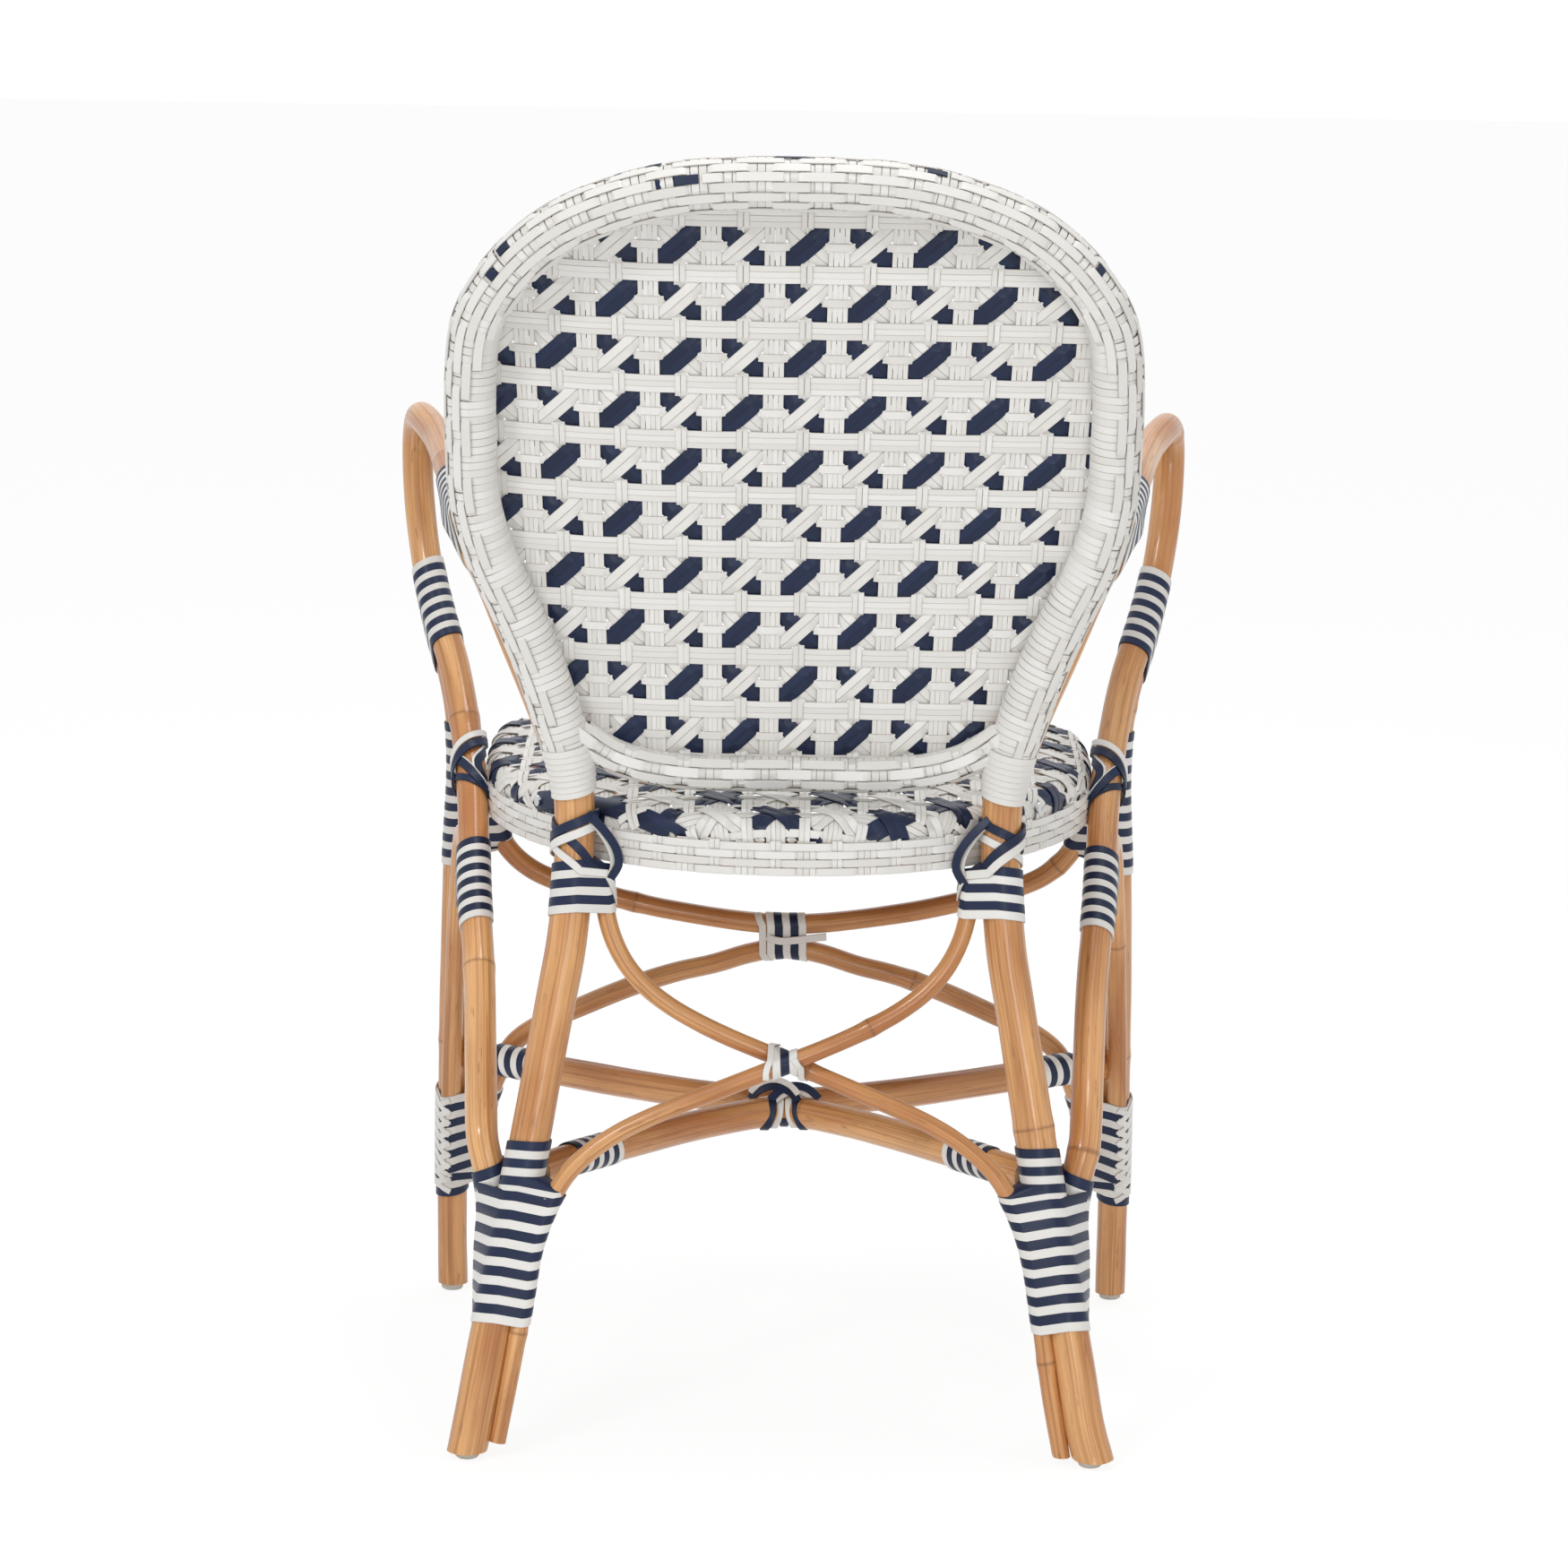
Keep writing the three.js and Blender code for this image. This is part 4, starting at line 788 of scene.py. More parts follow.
COLUMN_PITCH_LOW = 38.9 * MM
COLUMN_PITCH_HIGH = 41.9 * MM
ROW_PITCH = 39.2 * MM
COLUMN_SHIFT = 14.2 * MM
ROW_START = 0.4933
LATTICE_LOW, LATTICE_HIGH = 0.52, 0.78
EDGE_RISE = 4.5 * MM
PANEL_INSET = 4 * MM


def inside_outline(outline, flat):
    """Which of the flat points lie inside a closed outline."""
    x, y = flat[:, 0], flat[:, 1]
    inside = np.zeros(len(flat), bool)
    for (x0, y0), (x1, y1) in zip(outline, np.roll(outline, -1, axis=0)):
        crossing = (y0 > y) != (y1 > y)
        if crossing.any():
            inside ^= crossing & (x < (x1 - x0) * (y - y0) / (y1 - y0) + x0)
    return inside


def flat_on_back(points):
    return np.stack([points[:, 0], points @ UP_BACK], axis=1)


def back_outline():
    """The hoop's middle line above the rail, closed along the rail's middle line, and moved inwards."""
    above = flat_on_back(hoop_line[hoop_line[:, 2] > rail_line[:, 2].max()])
    below = flat_on_back(rail_line)
    if (above[0, 0] > above[-1, 0]) == (below[0, 0] > below[-1, 0]):
        below = below[::-1]
    outline = np.vstack([above, below[1:-1]])
    ahead = unit(np.roll(outline, -1, axis=0) - np.roll(outline, 1, axis=0))
    inward = np.stack([-ahead[:, 1], ahead[:, 0]], axis=1)
    middle = outline.mean(axis=0)
    turned = np.sign(np.sum(inward * (middle - outline), axis=1).sum())
    return outline + turned * PANEL_INSET * inward


panel_outline = back_outline()


def back_surface(u, v):
    height = ROW_START + v * ROW_PITCH
    share = (height - LATTICE_LOW) / (LATTICE_HIGH - LATTICE_LOW)
    x = COLUMN_SHIFT - u * (COLUMN_PITCH_LOW + share * (COLUMN_PITCH_HIGH - COLUMN_PITCH_LOW))
    rise = EDGE_RISE * np.clip(x / 0.18, 0, 1.2) ** 3
    across = np.pad(x[:, None], ((0, 0), (0, 2)))
    points = REARWARD * panel_depth + across + UP_BACK * (height + rise)[:, None]
    return points, np.tile(REARWARD, (len(x), 1)), inside_outline(panel_outline, flat_on_back(points))


back_weave = Weave(back_surface, 1, 1)
back_weave.lay((-6, 7), (-2, 12))
back_weave.pale.finish("back_weave_pale", "pale_weave", ["back_panel_weave"])
back_weave.navy.finish("back_weave_navy", "navy_strip")
print(f"back leans {math.degrees(lean):.1f} degrees")

# %% [markdown]
# ## Seat
#
# The seat is the same weave, turned over, so the slanted bands cross on top as small navy bow ties. It
# is slightly crowned, and at its edge it rolls over the ring and down into the apron. The roll is made
# by bending the flat pattern: whatever lies past the ring's middle is wound on to a round.

# %% Seat
ring_low, ring_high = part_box("seat_ring")
ROLL_RADIUS = 12.2 * MM
ROLL_INSET = SEAT_HALF_WIDTH - ring_high.x + 10.6 * MM - 1 * MM
ROLL_HEIGHT = (ring_low.z + ring_high.z) / 2 - RING_SETTLE
SEAT_CROWN = 16 * MM
SEAT_SHIFT = 8.5 * MM
SEAT_START_Y = SEAT_MIDDLE_Y + 37 * MM
ROLL_DROP = 7 * MM


def seat_share(x, y):
    """0 in the seat's middle and 1 at its edge."""
    rear = y > SEAT_MIDDLE_Y
    power = np.where(rear, SEAT_SQUARENESS[1], SEAT_SQUARENESS[-1])
    reach = np.where(rear, SEAT_REACH[1], SEAT_REACH[-1])
    across, along = np.abs(x / SEAT_HALF_WIDTH), np.abs((y - SEAT_MIDDLE_Y) / reach)
    return (across**power + along**power) ** (1 / power)


def seat_surface(u, v):
    flat = np.stack([SEAT_SHIFT + u * WEAVE_CELL, SEAT_START_Y + v * WEAVE_CELL], axis=1)
    apart = flat[:, None] - edge_points[None, ::4]
    nearest = np.argmin(np.sum(apart**2, axis=2), axis=1)
    outward = edge_out[::4][nearest]
    inset = -np.sum(apart[np.arange(len(flat)), nearest] * outward, axis=1)
    turn = np.clip((ROLL_INSET - inset) / ROLL_RADIUS, 0, math.pi / 2)
    rolled = np.minimum(inset - ROLL_INSET, 0) + ROLL_RADIUS * np.sin(turn)
    crown = SEAT_CROWN * (1 - np.clip(seat_share(*flat.T) / 0.94, 0, 1) ** 2.2)
    past = np.maximum(0, ROLL_INSET - inset - ROLL_RADIUS * math.pi / 2)
    height = ROLL_HEIGHT + ROLL_RADIUS * np.cos(turn) + crown - past
    points = np.hstack([flat + outward * rolled[:, None], height[:, None]])
    out = np.hstack([outward * np.sin(turn)[:, None], np.cos(turn)[:, None]])
    return points, out, past < ROLL_DROP


seat_weave = Weave(seat_surface, -1, 0)
seat_weave.lay((-7, 6), (-5, 8))
seat_weave.pale.finish("seat_weave_pale", "pale_weave", ["seat_weave"])
seat_weave.navy.finish("seat_weave_navy", "navy_strip")

# %% [markdown]
# ## Woven sleeves
#
# The strips of the panel are wrapped round the hoop and the rail, and flat strips run along the outside
# over and under those wraps. So a sleeve has two sets: close wraps all round the pole, and courses that
# run along it. Where a course dips under a group of wraps it also narrows, as a pinched strip does, and
# the wraps rise over it.

# %% Sleeves
WRAP_WIDTH = 5.4 * MM
WRAP_STEP = math.radians(12)
WIDE_GROUP_HALF = 7 * MM
THIN_GROUP_HALF = 3.8 * MM
GROUP_SOFTNESS = 4 * MM
COURSE_STEP = 2.5 * MM
TUCK_LENGTH = 46 * MM


def group_cover(along, cell, odd):
    """1 on the wraps of the wide groups (odd 0) or of the thin groups (odd 1), else 0."""
    half = THIN_GROUP_HALF if odd else WIDE_GROUP_HALF
    away = np.abs((along / cell - 0.5 * odd + 0.5) % 1.0 - 0.5) * cell
    return 1 - smooth_step((away - half) / GROUP_SOFTNESS + 0.5)


class Sleeve:
    """The woven cover of a pole. outward and rearward are the directions of angle 0 and 90."""

    def __init__(self, line, outward, rearward, base, cell, phase, tuck=0.0):
        self.line, self.outward, self.rearward = line, outward, rearward
        self.base, self.cell, self.phase, self.tuck = base, cell, phase, tuck
        self.along = lengths_along(line)
        self.length = self.along[-1]
        self.pale, self.navy = Strips(), Strips()
        self.courses = []

    def at(self, along, angle):
        """Middle point and the direction away from the pole."""
        first, second = (unit(picked(along, self.along, rows)) for rows in (self.outward, self.rearward))
        out = np.cos(angle)[:, None] * first + np.sin(angle)[:, None] * second
        return picked(along, self.along, self.line), unit(out)

    def tucked(self, alongs):
        """How much the cover is pressed in towards its ends."""
        return self.tuck * (1 - smooth_step(np.minimum(alongs, self.length - alongs) / TUCK_LENGTH))

    def course(self, start, end, angle, odd, width, navy=(), flare=0.0):
        """A strip along the pole that dips under every second group of wraps. flare lifts its ends."""
        count = max(LEAST_RUN, round((end - start) / COURSE_STEP))
        alongs = np.linspace(start, end, count)
        middle, out = self.at(alongs, np.full(count, angle))
        dip = group_cover(alongs + self.phase, self.cell, odd)
        to_end = np.minimum(alongs, self.length - alongs)
        lifted = flare * (1 - smooth_step(to_end / (42 * MM)))
        lifted = lifted - self.tucked(alongs)
        reach = self.base + 4.0 * MM - 2.7 * MM * dip + lifted + luck.uniform(-0.15, 0.15) * MM
        points = middle + out * reach[:, None]
        widths = width * (1 - 0.16 * dip) * (1 + lifted / (self.base + 4 * MM))
        dark = np.zeros(count, bool)
        for first, last in navy:
            dark |= (alongs > first) & (alongs < last)
        for gather, chosen in ((self.navy, dark), (self.pale, ~dark)):
            for run in runs_of(chosen):
                gather.add(points[run], out[run], widths[run], 0.9 * MM)
        self.courses.append((start, end, angle, odd))

    def wraps(self, start, end):
        """Close wraps that rise where a course dips under them."""
        count = round((end - start) / WRAP_WIDTH)
        angles = np.arange(0, 2 * math.pi + WRAP_STEP / 2, WRAP_STEP)
        for i in range(count):
            alongs = np.full_like(angles, start + (i + 0.5) * (end - start) / count)
            middle, out = self.at(alongs, angles)
            lift = np.zeros_like(angles)
            for first, last, angle, odd in self.courses:
                if first < alongs[0] < last:
                    apart = np.abs((angles - angle + math.pi) % (2 * math.pi) - math.pi)
                    cover = group_cover(alongs + self.phase, self.cell, odd)
                    lift = np.maximum(lift, cover * (1 - smooth_step(apart / math.radians(20))))
            reach = self.base + 2.3 * MM + 1.3 * MM * lift + luck.uniform(0, 0.15) * MM
            reach = reach - self.tucked(alongs) / 2
            self.pale.add(middle + out * reach[:, None], out, WRAP_WIDTH * STRIP_FILL_SHARE, 0.8 * MM)


def outward_from(line, rearward, guess):
    """Directions square to a line and to rearward, on the guessed side."""
    out = unit(np.cross(headings(line), rearward))
    return out * np.sign(out[len(out) // 2] @ guess)


# %% [markdown]
# ## Border of the back
#
# The border hides the hoop and the panel's ends. Along the sides its courses cover the outer half, and
# the plain wraps show towards the panel. Round the top the courses carry on to the panel's edge. A few
# short navy lengths come through where slanted strips end.

# %% Border
BORDER_CELL = 40.6 * MM
COURSE_PITCH = math.radians(22.5)
COURSE_FIRST = math.radians(-100)
COURSE_WIDTH = 6.5 * MM
SIDE_COURSE_COUNT = 9
TOP_COURSE_COUNT = 12
border_line = hoop_line[hoop_line[:, 2] > rail_line[:, 2].max() - 36 * MM]
border_rear = np.tile(REARWARD, (len(border_line), 1))
border_out = outward_from(border_line, border_rear, np.array([0, 0, 1.0]))
border = Sleeve(border_line, border_out, border_rear, hoop_radius, BORDER_CELL, 9 * MM, tuck=2.4 * MM)
NAVY_PARTS = {
    4: [(0.482, 0.512), (0.40, 0.425)],
    5: [(0.570, 0.582)],
    6: [(0.325, 0.338), (0.675, 0.686)],
    7: [(0.420, 0.446), (0.312, 0.324)],
}
for i in range(TOP_COURSE_COUNT):
    reach = 0.5 if i < SIDE_COURSE_COUNT else 0.24 - 0.02 * (i - SIDE_COURSE_COUNT)
    navy = [(first * border.length, last * border.length) for first, last in NAVY_PARTS.get(i, [])]
    first, last = (0.5 - reach) * border.length, (0.5 + reach) * border.length
    border.course(first, last, COURSE_FIRST + i * COURSE_PITCH, i % 2, COURSE_WIDTH, navy)
border.wraps(0, border.length)
border.pale.finish("hoop_border_pale", "pale_weave", ["hoop_border_weave"])
border.navy.finish("hoop_border_navy", "navy_strip")
print(f"border: {border.length:.3f} m along the hoop")

# %% [markdown]
# ## Rail cover
#
# The low rail of the back is wrapped in the same way. Its courses run right over the posts at both ends
# and flatten there, which ties rail and hoop together. The same sleeve does this with flared ends.

# %% Rail cover
RAIL_COURSES = 6
RAIL_COURSE_PITCH = math.radians(35)
RAIL_COURSE_FIRST = math.radians(-35)
RAIL_COURSE_WIDTH = 7.2 * MM
RAIL_FLARE = 4.2 * MM
rail_rear = np.tile(REARWARD, (len(rail_line), 1))
rail_out = outward_from(rail_line, rail_rear, np.array([0, 0, -1.0]))
rail = Sleeve(rail_line, rail_out, rail_rear, rail_radius - 0.6 * MM, COLUMN_PITCH_LOW, 5 * MM)
for i in range(RAIL_COURSES):
    angle = RAIL_COURSE_FIRST + i * RAIL_COURSE_PITCH
    on_post = 1 if 0 < math.sin(angle) else 0
    trim = 2 * MM if on_post else 16 * MM
    flare = RAIL_FLARE * math.sin(angle) * on_post
    rail.course(trim, rail.length - trim, angle, i % 2, RAIL_COURSE_WIDTH, flare=flare)
rail.wraps(16 * MM, rail.length - 16 * MM)
rail.pale.finish("rail_cover_pale", "pale_weave", ["back_rail_weave"])

# %% [markdown]
# ## Apron
#
# Below the rolled edge, four courses run round the seat and groups of upright strips pass behind and in
# front of them in turn, like bricks. The uprights start under the roll and end at the thin hoop.

# %% Apron
APRON_COURSES = 4
APRON_TOP = ROLL_HEIGHT - 3.5 * MM
APRON_BOTTOM = seat_low.z + 0.5 * MM
APRON_CELL = 43 * MM
APRON_ROW = (APRON_TOP - APRON_BOTTOM) / APRON_COURSES
apron_cell = edge_length / round(edge_length / APRON_CELL)
apron = Strips()


def standing(along, heights, reach):
    """Points and outward directions on the apron's skin."""
    flat, out = edge_at(along)
    points = np.hstack([flat + out * np.reshape(reach, (-1, 1)), np.reshape(heights, (-1, 1))])
    return points, np.pad(out, ((0, 0), (0, 1)))


for row in range(APRON_COURSES):
    alongs = np.linspace(0, edge_length, round(edge_length / COURSE_STEP))
    dip = group_cover(alongs, apron_cell, row % 2)
    heights = np.full(len(alongs), APRON_BOTTOM + (row + 0.5) * APRON_ROW)
    points, out = standing(alongs, heights, 0.8 * MM - 1.9 * MM * dip)
    apron.add(points, out, APRON_ROW * (0.95 - 0.12 * dip), 0.9 * MM)
for group in range(2 * round(edge_length / APRON_CELL)):
    thin = group % 2
    strip_count, strip_width = (2, 3.8 * MM) if thin else (3, 4.4 * MM)
    for i in range(strip_count):
        heights = np.linspace(APRON_TOP + 1 * MM, APRON_BOTTOM, 24)
        rows_down = (heights - APRON_BOTTOM) / APRON_ROW - 0.5
        over = wave(rows_down / 2 - thin / 2)
        along = group * apron_cell / 2 + (i - (strip_count - 1) / 2) * strip_width
        points, out = standing(np.full(len(heights), along), heights, (-0.2 + 0.75 * over) * MM)
        apron.add(points, out, strip_width * STRIP_FILL_SHARE, 0.8 * MM)
apron.finish("seat_apron_strips", "pale_weave", ["seat_apron_weave"])

# %% [markdown]
# ## Lashings
#
# Each joint is wound with a navy and an off-white strip side by side. A pulled strip takes the shortest
# way round a bundle of poles: it follows a pole's skin and then runs straight to the next pole. A cloth
# or rope simulation could find that, but there is a shorter way: at every angle, the pole that reaches
# furthest that way carries the strip. A weaver tucks the ends away on the inside, so each winding
# begins and ends on the side that faces forwards.

# %% Lashing maker
TURN_STEPS = 44
LASHING_PITCH = 12.2 * MM
LASHING_THICKNESS = 1.1 * MM
FADE = 8 * MM
LET_GO = 40 * MM
DEGREE_ARC = 0.25 * MM
LAID_STEP = 1.4 * MM
BUNDLE_REACH = 42 * MM


class Lashing:
    """Strips wound round poles that run side by side."""

    def __init__(self, name):
        self.name = name
        self.navy, self.pale = Strips(), Strips()

    def around(self, poles, start, end, reach=BUNDLE_REACH):
        """Chooses the poles and the axis for the turns that follow."""
        self.start = np.array(start)
        self.length = float(np.linalg.norm(np.array(end) - self.start))
        self.axis = (np.array(end) - self.start) / self.length
        helper = np.array([0.0, 0.0, 1.0]) if abs(self.axis[0]) > 0.7 else np.array([1.0, 0.0, 0.0])
        self.side = unit(helper - self.axis * helper.dot(self.axis))
        self.out = np.cross(self.axis, self.side)
        self.hidden = math.atan2(-self.out[1], -self.side[1])
        self.tables = [table for pole in poles if (table := self.table(pole, reach))]
        return self

    def table(self, pole, reach):
        """Where a pole's middle line lies for each distance along the axis."""
        line, radius = lines[pole]
        offset = line - self.start
        along = offset @ self.axis
        away = np.linalg.norm(offset - along[:, None] * self.axis, axis=1)
        runs = runs_of((away < reach) & (along > -60 * MM) & (along < self.length + 60 * MM))
        if not runs:
            return None
        run = max(runs, key=lambda part: part.stop - part.start)
        order = np.argsort(along[run])
        flat = np.stack([offset[run] @ self.side, offset[run] @ self.out], axis=1)
        return along[run][order], flat[order], headings(line)[run][order], radius

    def outline(self, along, angle):
        """The point of the taut outline that faces each angle, and that direction."""
        facing = np.stack([np.cos(angle), np.sin(angle)], axis=1)
        best_reach = np.full(len(along), -1.0)
        best = np.zeros((len(along), 2))
        for table_along, flat, tilt, radius in self.tables:
            centre = picked(along, table_along, flat)
            tilts = picked(along, table_along, tilt)
            slant = np.abs(tilts @ self.axis)
            lying = unit(np.stack([tilts @ self.side, tilts @ self.out], axis=1))
            square = np.stack([-lying[:, 1], lying[:, 0]], axis=1)
            past = np.maximum(table_along[0] - along, along - table_along[-1])
            short = radius * (1 - smooth_step(past / FADE))
            long_ = short / np.maximum(slant, 0.4)
            f_long, f_short = np.sum(facing * lying, axis=1), np.sum(facing * square, axis=1)
            size = np.sqrt((long_ * f_long) ** 2 + (short * f_short) ** 2) + 1e-9
            point = lying * (long_**2 * f_long / size)[:, None]
            point = point + square * (short**2 * f_short / size)[:, None]
            total = np.sum(centre * facing, axis=1) + size - LET_GO * smooth_step(past / (2 * FADE))
            better = total > best_reach
            best_reach = np.where(better, total, best_reach)
            best[better] = (centre + point)[better]
        points = self.start + along[:, None] * self.axis + best[:, :1] * self.side + best[:, 1:] * self.out
        return points, facing[:, :1] * self.side + facing[:, 1:] * self.out

    def wind(self, gather, start, end, turns, width, lift=0.0, hand=1, tilt=0.0, high_at=0.0, shingle=0.0):
        """Winds one strip along the axis; tilt slopes each turn, shingle lifts one edge."""
        count = max(8, round(abs(turns) * TURN_STEPS))
        angle = self.hidden + hand * 2 * math.pi * np.linspace(0, turns, count)
        along = np.linspace(start, end, count) + tilt * np.cos(angle - high_at)
        lower, out = self.outline(along - width / 2, angle)
        upper, _ = self.outline(along + width / 2, angle)
        rise = out * (LASHING_THICKNESS / 2 + np.ones(count) * lift + 0.1 * MM)[:, None]
        gather.add_edges(lower + rise + out * shingle, upper + rise, out, LASHING_THICKNESS)

    def pairs(self, pitch=LASHING_PITCH, hand=1, navy_first=True, start=0.0, end=None):
        """A navy and an off-white strip side by side over the whole length."""
        end = self.length if end is None else end
        turns = max(1, round((end - start) / pitch))
        pitch = (end - start) / turns
        navy_at, pale_at = (-0.24, 0.26) if navy_first else (0.26, -0.24)
        for gather, at, width, lift in (
            (self.pale, pale_at, 0.52, 0.0),
            (self.navy, navy_at, 0.54, 0.12 * MM),
        ):
            first = start + at * pitch
            self.wind(gather, first, first + turns * pitch, turns, width * pitch, lift, hand)
        return self

    def laid(self, gather, places, width, mirrored=False):
        """A strip over places on the taut outline: millimetres along, degrees round, millimetres of lift."""
        scale = np.array([MM, DEGREE_ARC, MM])
        path = even_line(smooth_line(np.array(places, float) * scale), LAID_STEP) / scale
        angle = np.radians(180 - path[:, 1] if mirrored else path[:, 1])
        points, out = self.outline(path[:, 0] * MM, angle)
        gather.add(points + out * (path[:, 2:] * MM + LASHING_THICKNESS / 2), out, width, LASHING_THICKNESS)

    def bridge(self, gather, places, facing, width, mirrored=False):
        """A strip that stands free; places are millimetres along the axis and across it, twice."""
        side = -self.side if mirrored else self.side
        path = even_line(smooth_line(np.array(places, float) * MM), LAID_STEP)
        points = self.start + path[:, :1] * self.axis + path[:, 1:2] * side + path[:, 2:] * self.out
        out = np.tile(unit(facing[0] * side + facing[1] * self.out), (len(points), 1))
        gather.add(points, out, width, LASHING_THICKNESS)

    def finish(self):
        self.navy.finish(f"{self.name}_navy", "navy_strip", [self.name])
        self.pale.finish(f"{self.name}_pale", "pale_weave", [self.name])


# %% [markdown]
# ## Lashings of the sides
#
# Feet, posts, front legs and arms each have their own bundle. Most are plain pairs of turns. Where a
# brace or a seat ring has to be caught, a few loops cross over the pairs on the slant. The places come
# from the CAD lashings' boxes, so the strips stay where the solids are.

# %% Lashings of the sides
def line_at_height(name, z, near_y=0.0):
    """The point where a pole's line passes a height; the one nearest to near_y if there are several."""
    line = lines[name][0]
    points = []
    for i in np.flatnonzero((line[:-1, 2] - z) * (line[1:, 2] - z) <= 0):
        points.append(line[i] + (line[i + 1] - line[i]) * (z - line[i, 2]) / (line[i + 1, 2] - line[i, 2]))
    return min(points, key=lambda point: abs(point[1] - near_y))


def hoop_side(side, z):
    """The hoop's line at a height, on one side."""
    half = hoop_line[hoop_line[:, 0] * side > 0]
    order = np.argsort(half[:, 2])
    return picked(np.array([z]), half[order, 2], half[order])[0]


def share_point(name, share):
    line = lines[name][0]
    return line[round(share * (len(line) - 1))]


def heights_of(node):
    low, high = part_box(node)
    return low.z, high.z


BRACE_SHOWN = 44 * MM
COLLAR_TOP = 217 * MM
STITCH_COUNT = 9
LOW_TO_HIGH = [(48, -40), (51, 0), (56, 45), (62, 95), (68, 145), (70, 185), (70, 230)]
HIGH_TO_LOW = [(64, -40), (62, 0), (56, 45), (48, 90), (38, 130), (29, 165), (22, 190)]


def beside(places, drop, lift):
    """The same way round, some millimetres lower."""
    return [(along - drop, angle, lift) for along, angle in places]


POST_LOOPS = {
    "left": [
        ("pale", beside(HIGH_TO_LOW, 14, 1.3), 5.4),
        ("navy", beside(HIGH_TO_LOW, 0, 0.9), 6.2),
        ("pale", beside(LOW_TO_HIGH, 7.5, 2.0), 6.2),
        ("navy", beside(LOW_TO_HIGH, 0, 2.0), 6.4),
    ],
    "right": [
        ("pale", beside(LOW_TO_HIGH, 12, 0.2), 5.6),
        ("navy", beside(LOW_TO_HIGH, 2, 0.9), 6.2),
        ("pale", beside(HIGH_TO_LOW, 7.5, 2.0), 6.0),
        ("navy", beside(HIGH_TO_LOW, 0, 2.1), 6.4),
    ],
}
POST_BRIDGES = [
    (
        "navy",
        [(69, -9, 12), (64, -15, 12), (56, -23, 11), (46, -30, 10)]
        + [(36, -32.5, 9), (28, -29, 8), (22, -25, 4)],
        6.2,
    ),
    ("pale", [(66, -9, 10), (58, -17, 10), (46, -25, 9), (36, -28, 8), (29, -27, 7), (24, -25, 3)], 3.4),
]
SEAT_SIDE_LOOPS = [
    (
        "navy",
        [(52, 200, 0.2), (42, 150, 0.2), (33, 118, 0.2), (24, 128, 0.2), (14, 160, 0.2), (6, 200, 0.2)],
        6.4,
    ),
    ("pale", [(52, 170, 0.1), (43, 130, 0.1), (34, 100, 0.1), (25, 112, 0.1), (15, 140, 0.1)], 2.2),
    (
        "navy",
        [(44, -30, 1.2), (37, 45, 1.2), (28, 80, 1.2), (19, 108, 1.2), (10, 145, 1.2), (2, 190, 1.2)],
        6.4,
    ),
    ("pale", [(50, -30, 0.9), (41, 45, 0.9), (32, 82, 0.9), (23, 110, 0.9), (14, 150, 0.9)], 3.0),
    (
        "navy",
        [(56, 200, 2.3), (52, 150, 2.3), (45, 90, 2.3), (38, 50, 2.3), (27, 5, 2.3), (18, -40, 2.3)],
        6.4,
    ),
    (
        "pale",
        [(62, 190, 2.2), (58, 140, 2.2), (52, 85, 2.2), (45, 42, 2.2), (33, 0, 2.2), (24, -40, 2.2)],
        5.0,
    ),
    ("navy", [(30, -40, 0.2), (25, 20, 0.2), (20, 70, 0.2), (14, 120, 0.2), (8, 180, 0.2)], 5.4),
]

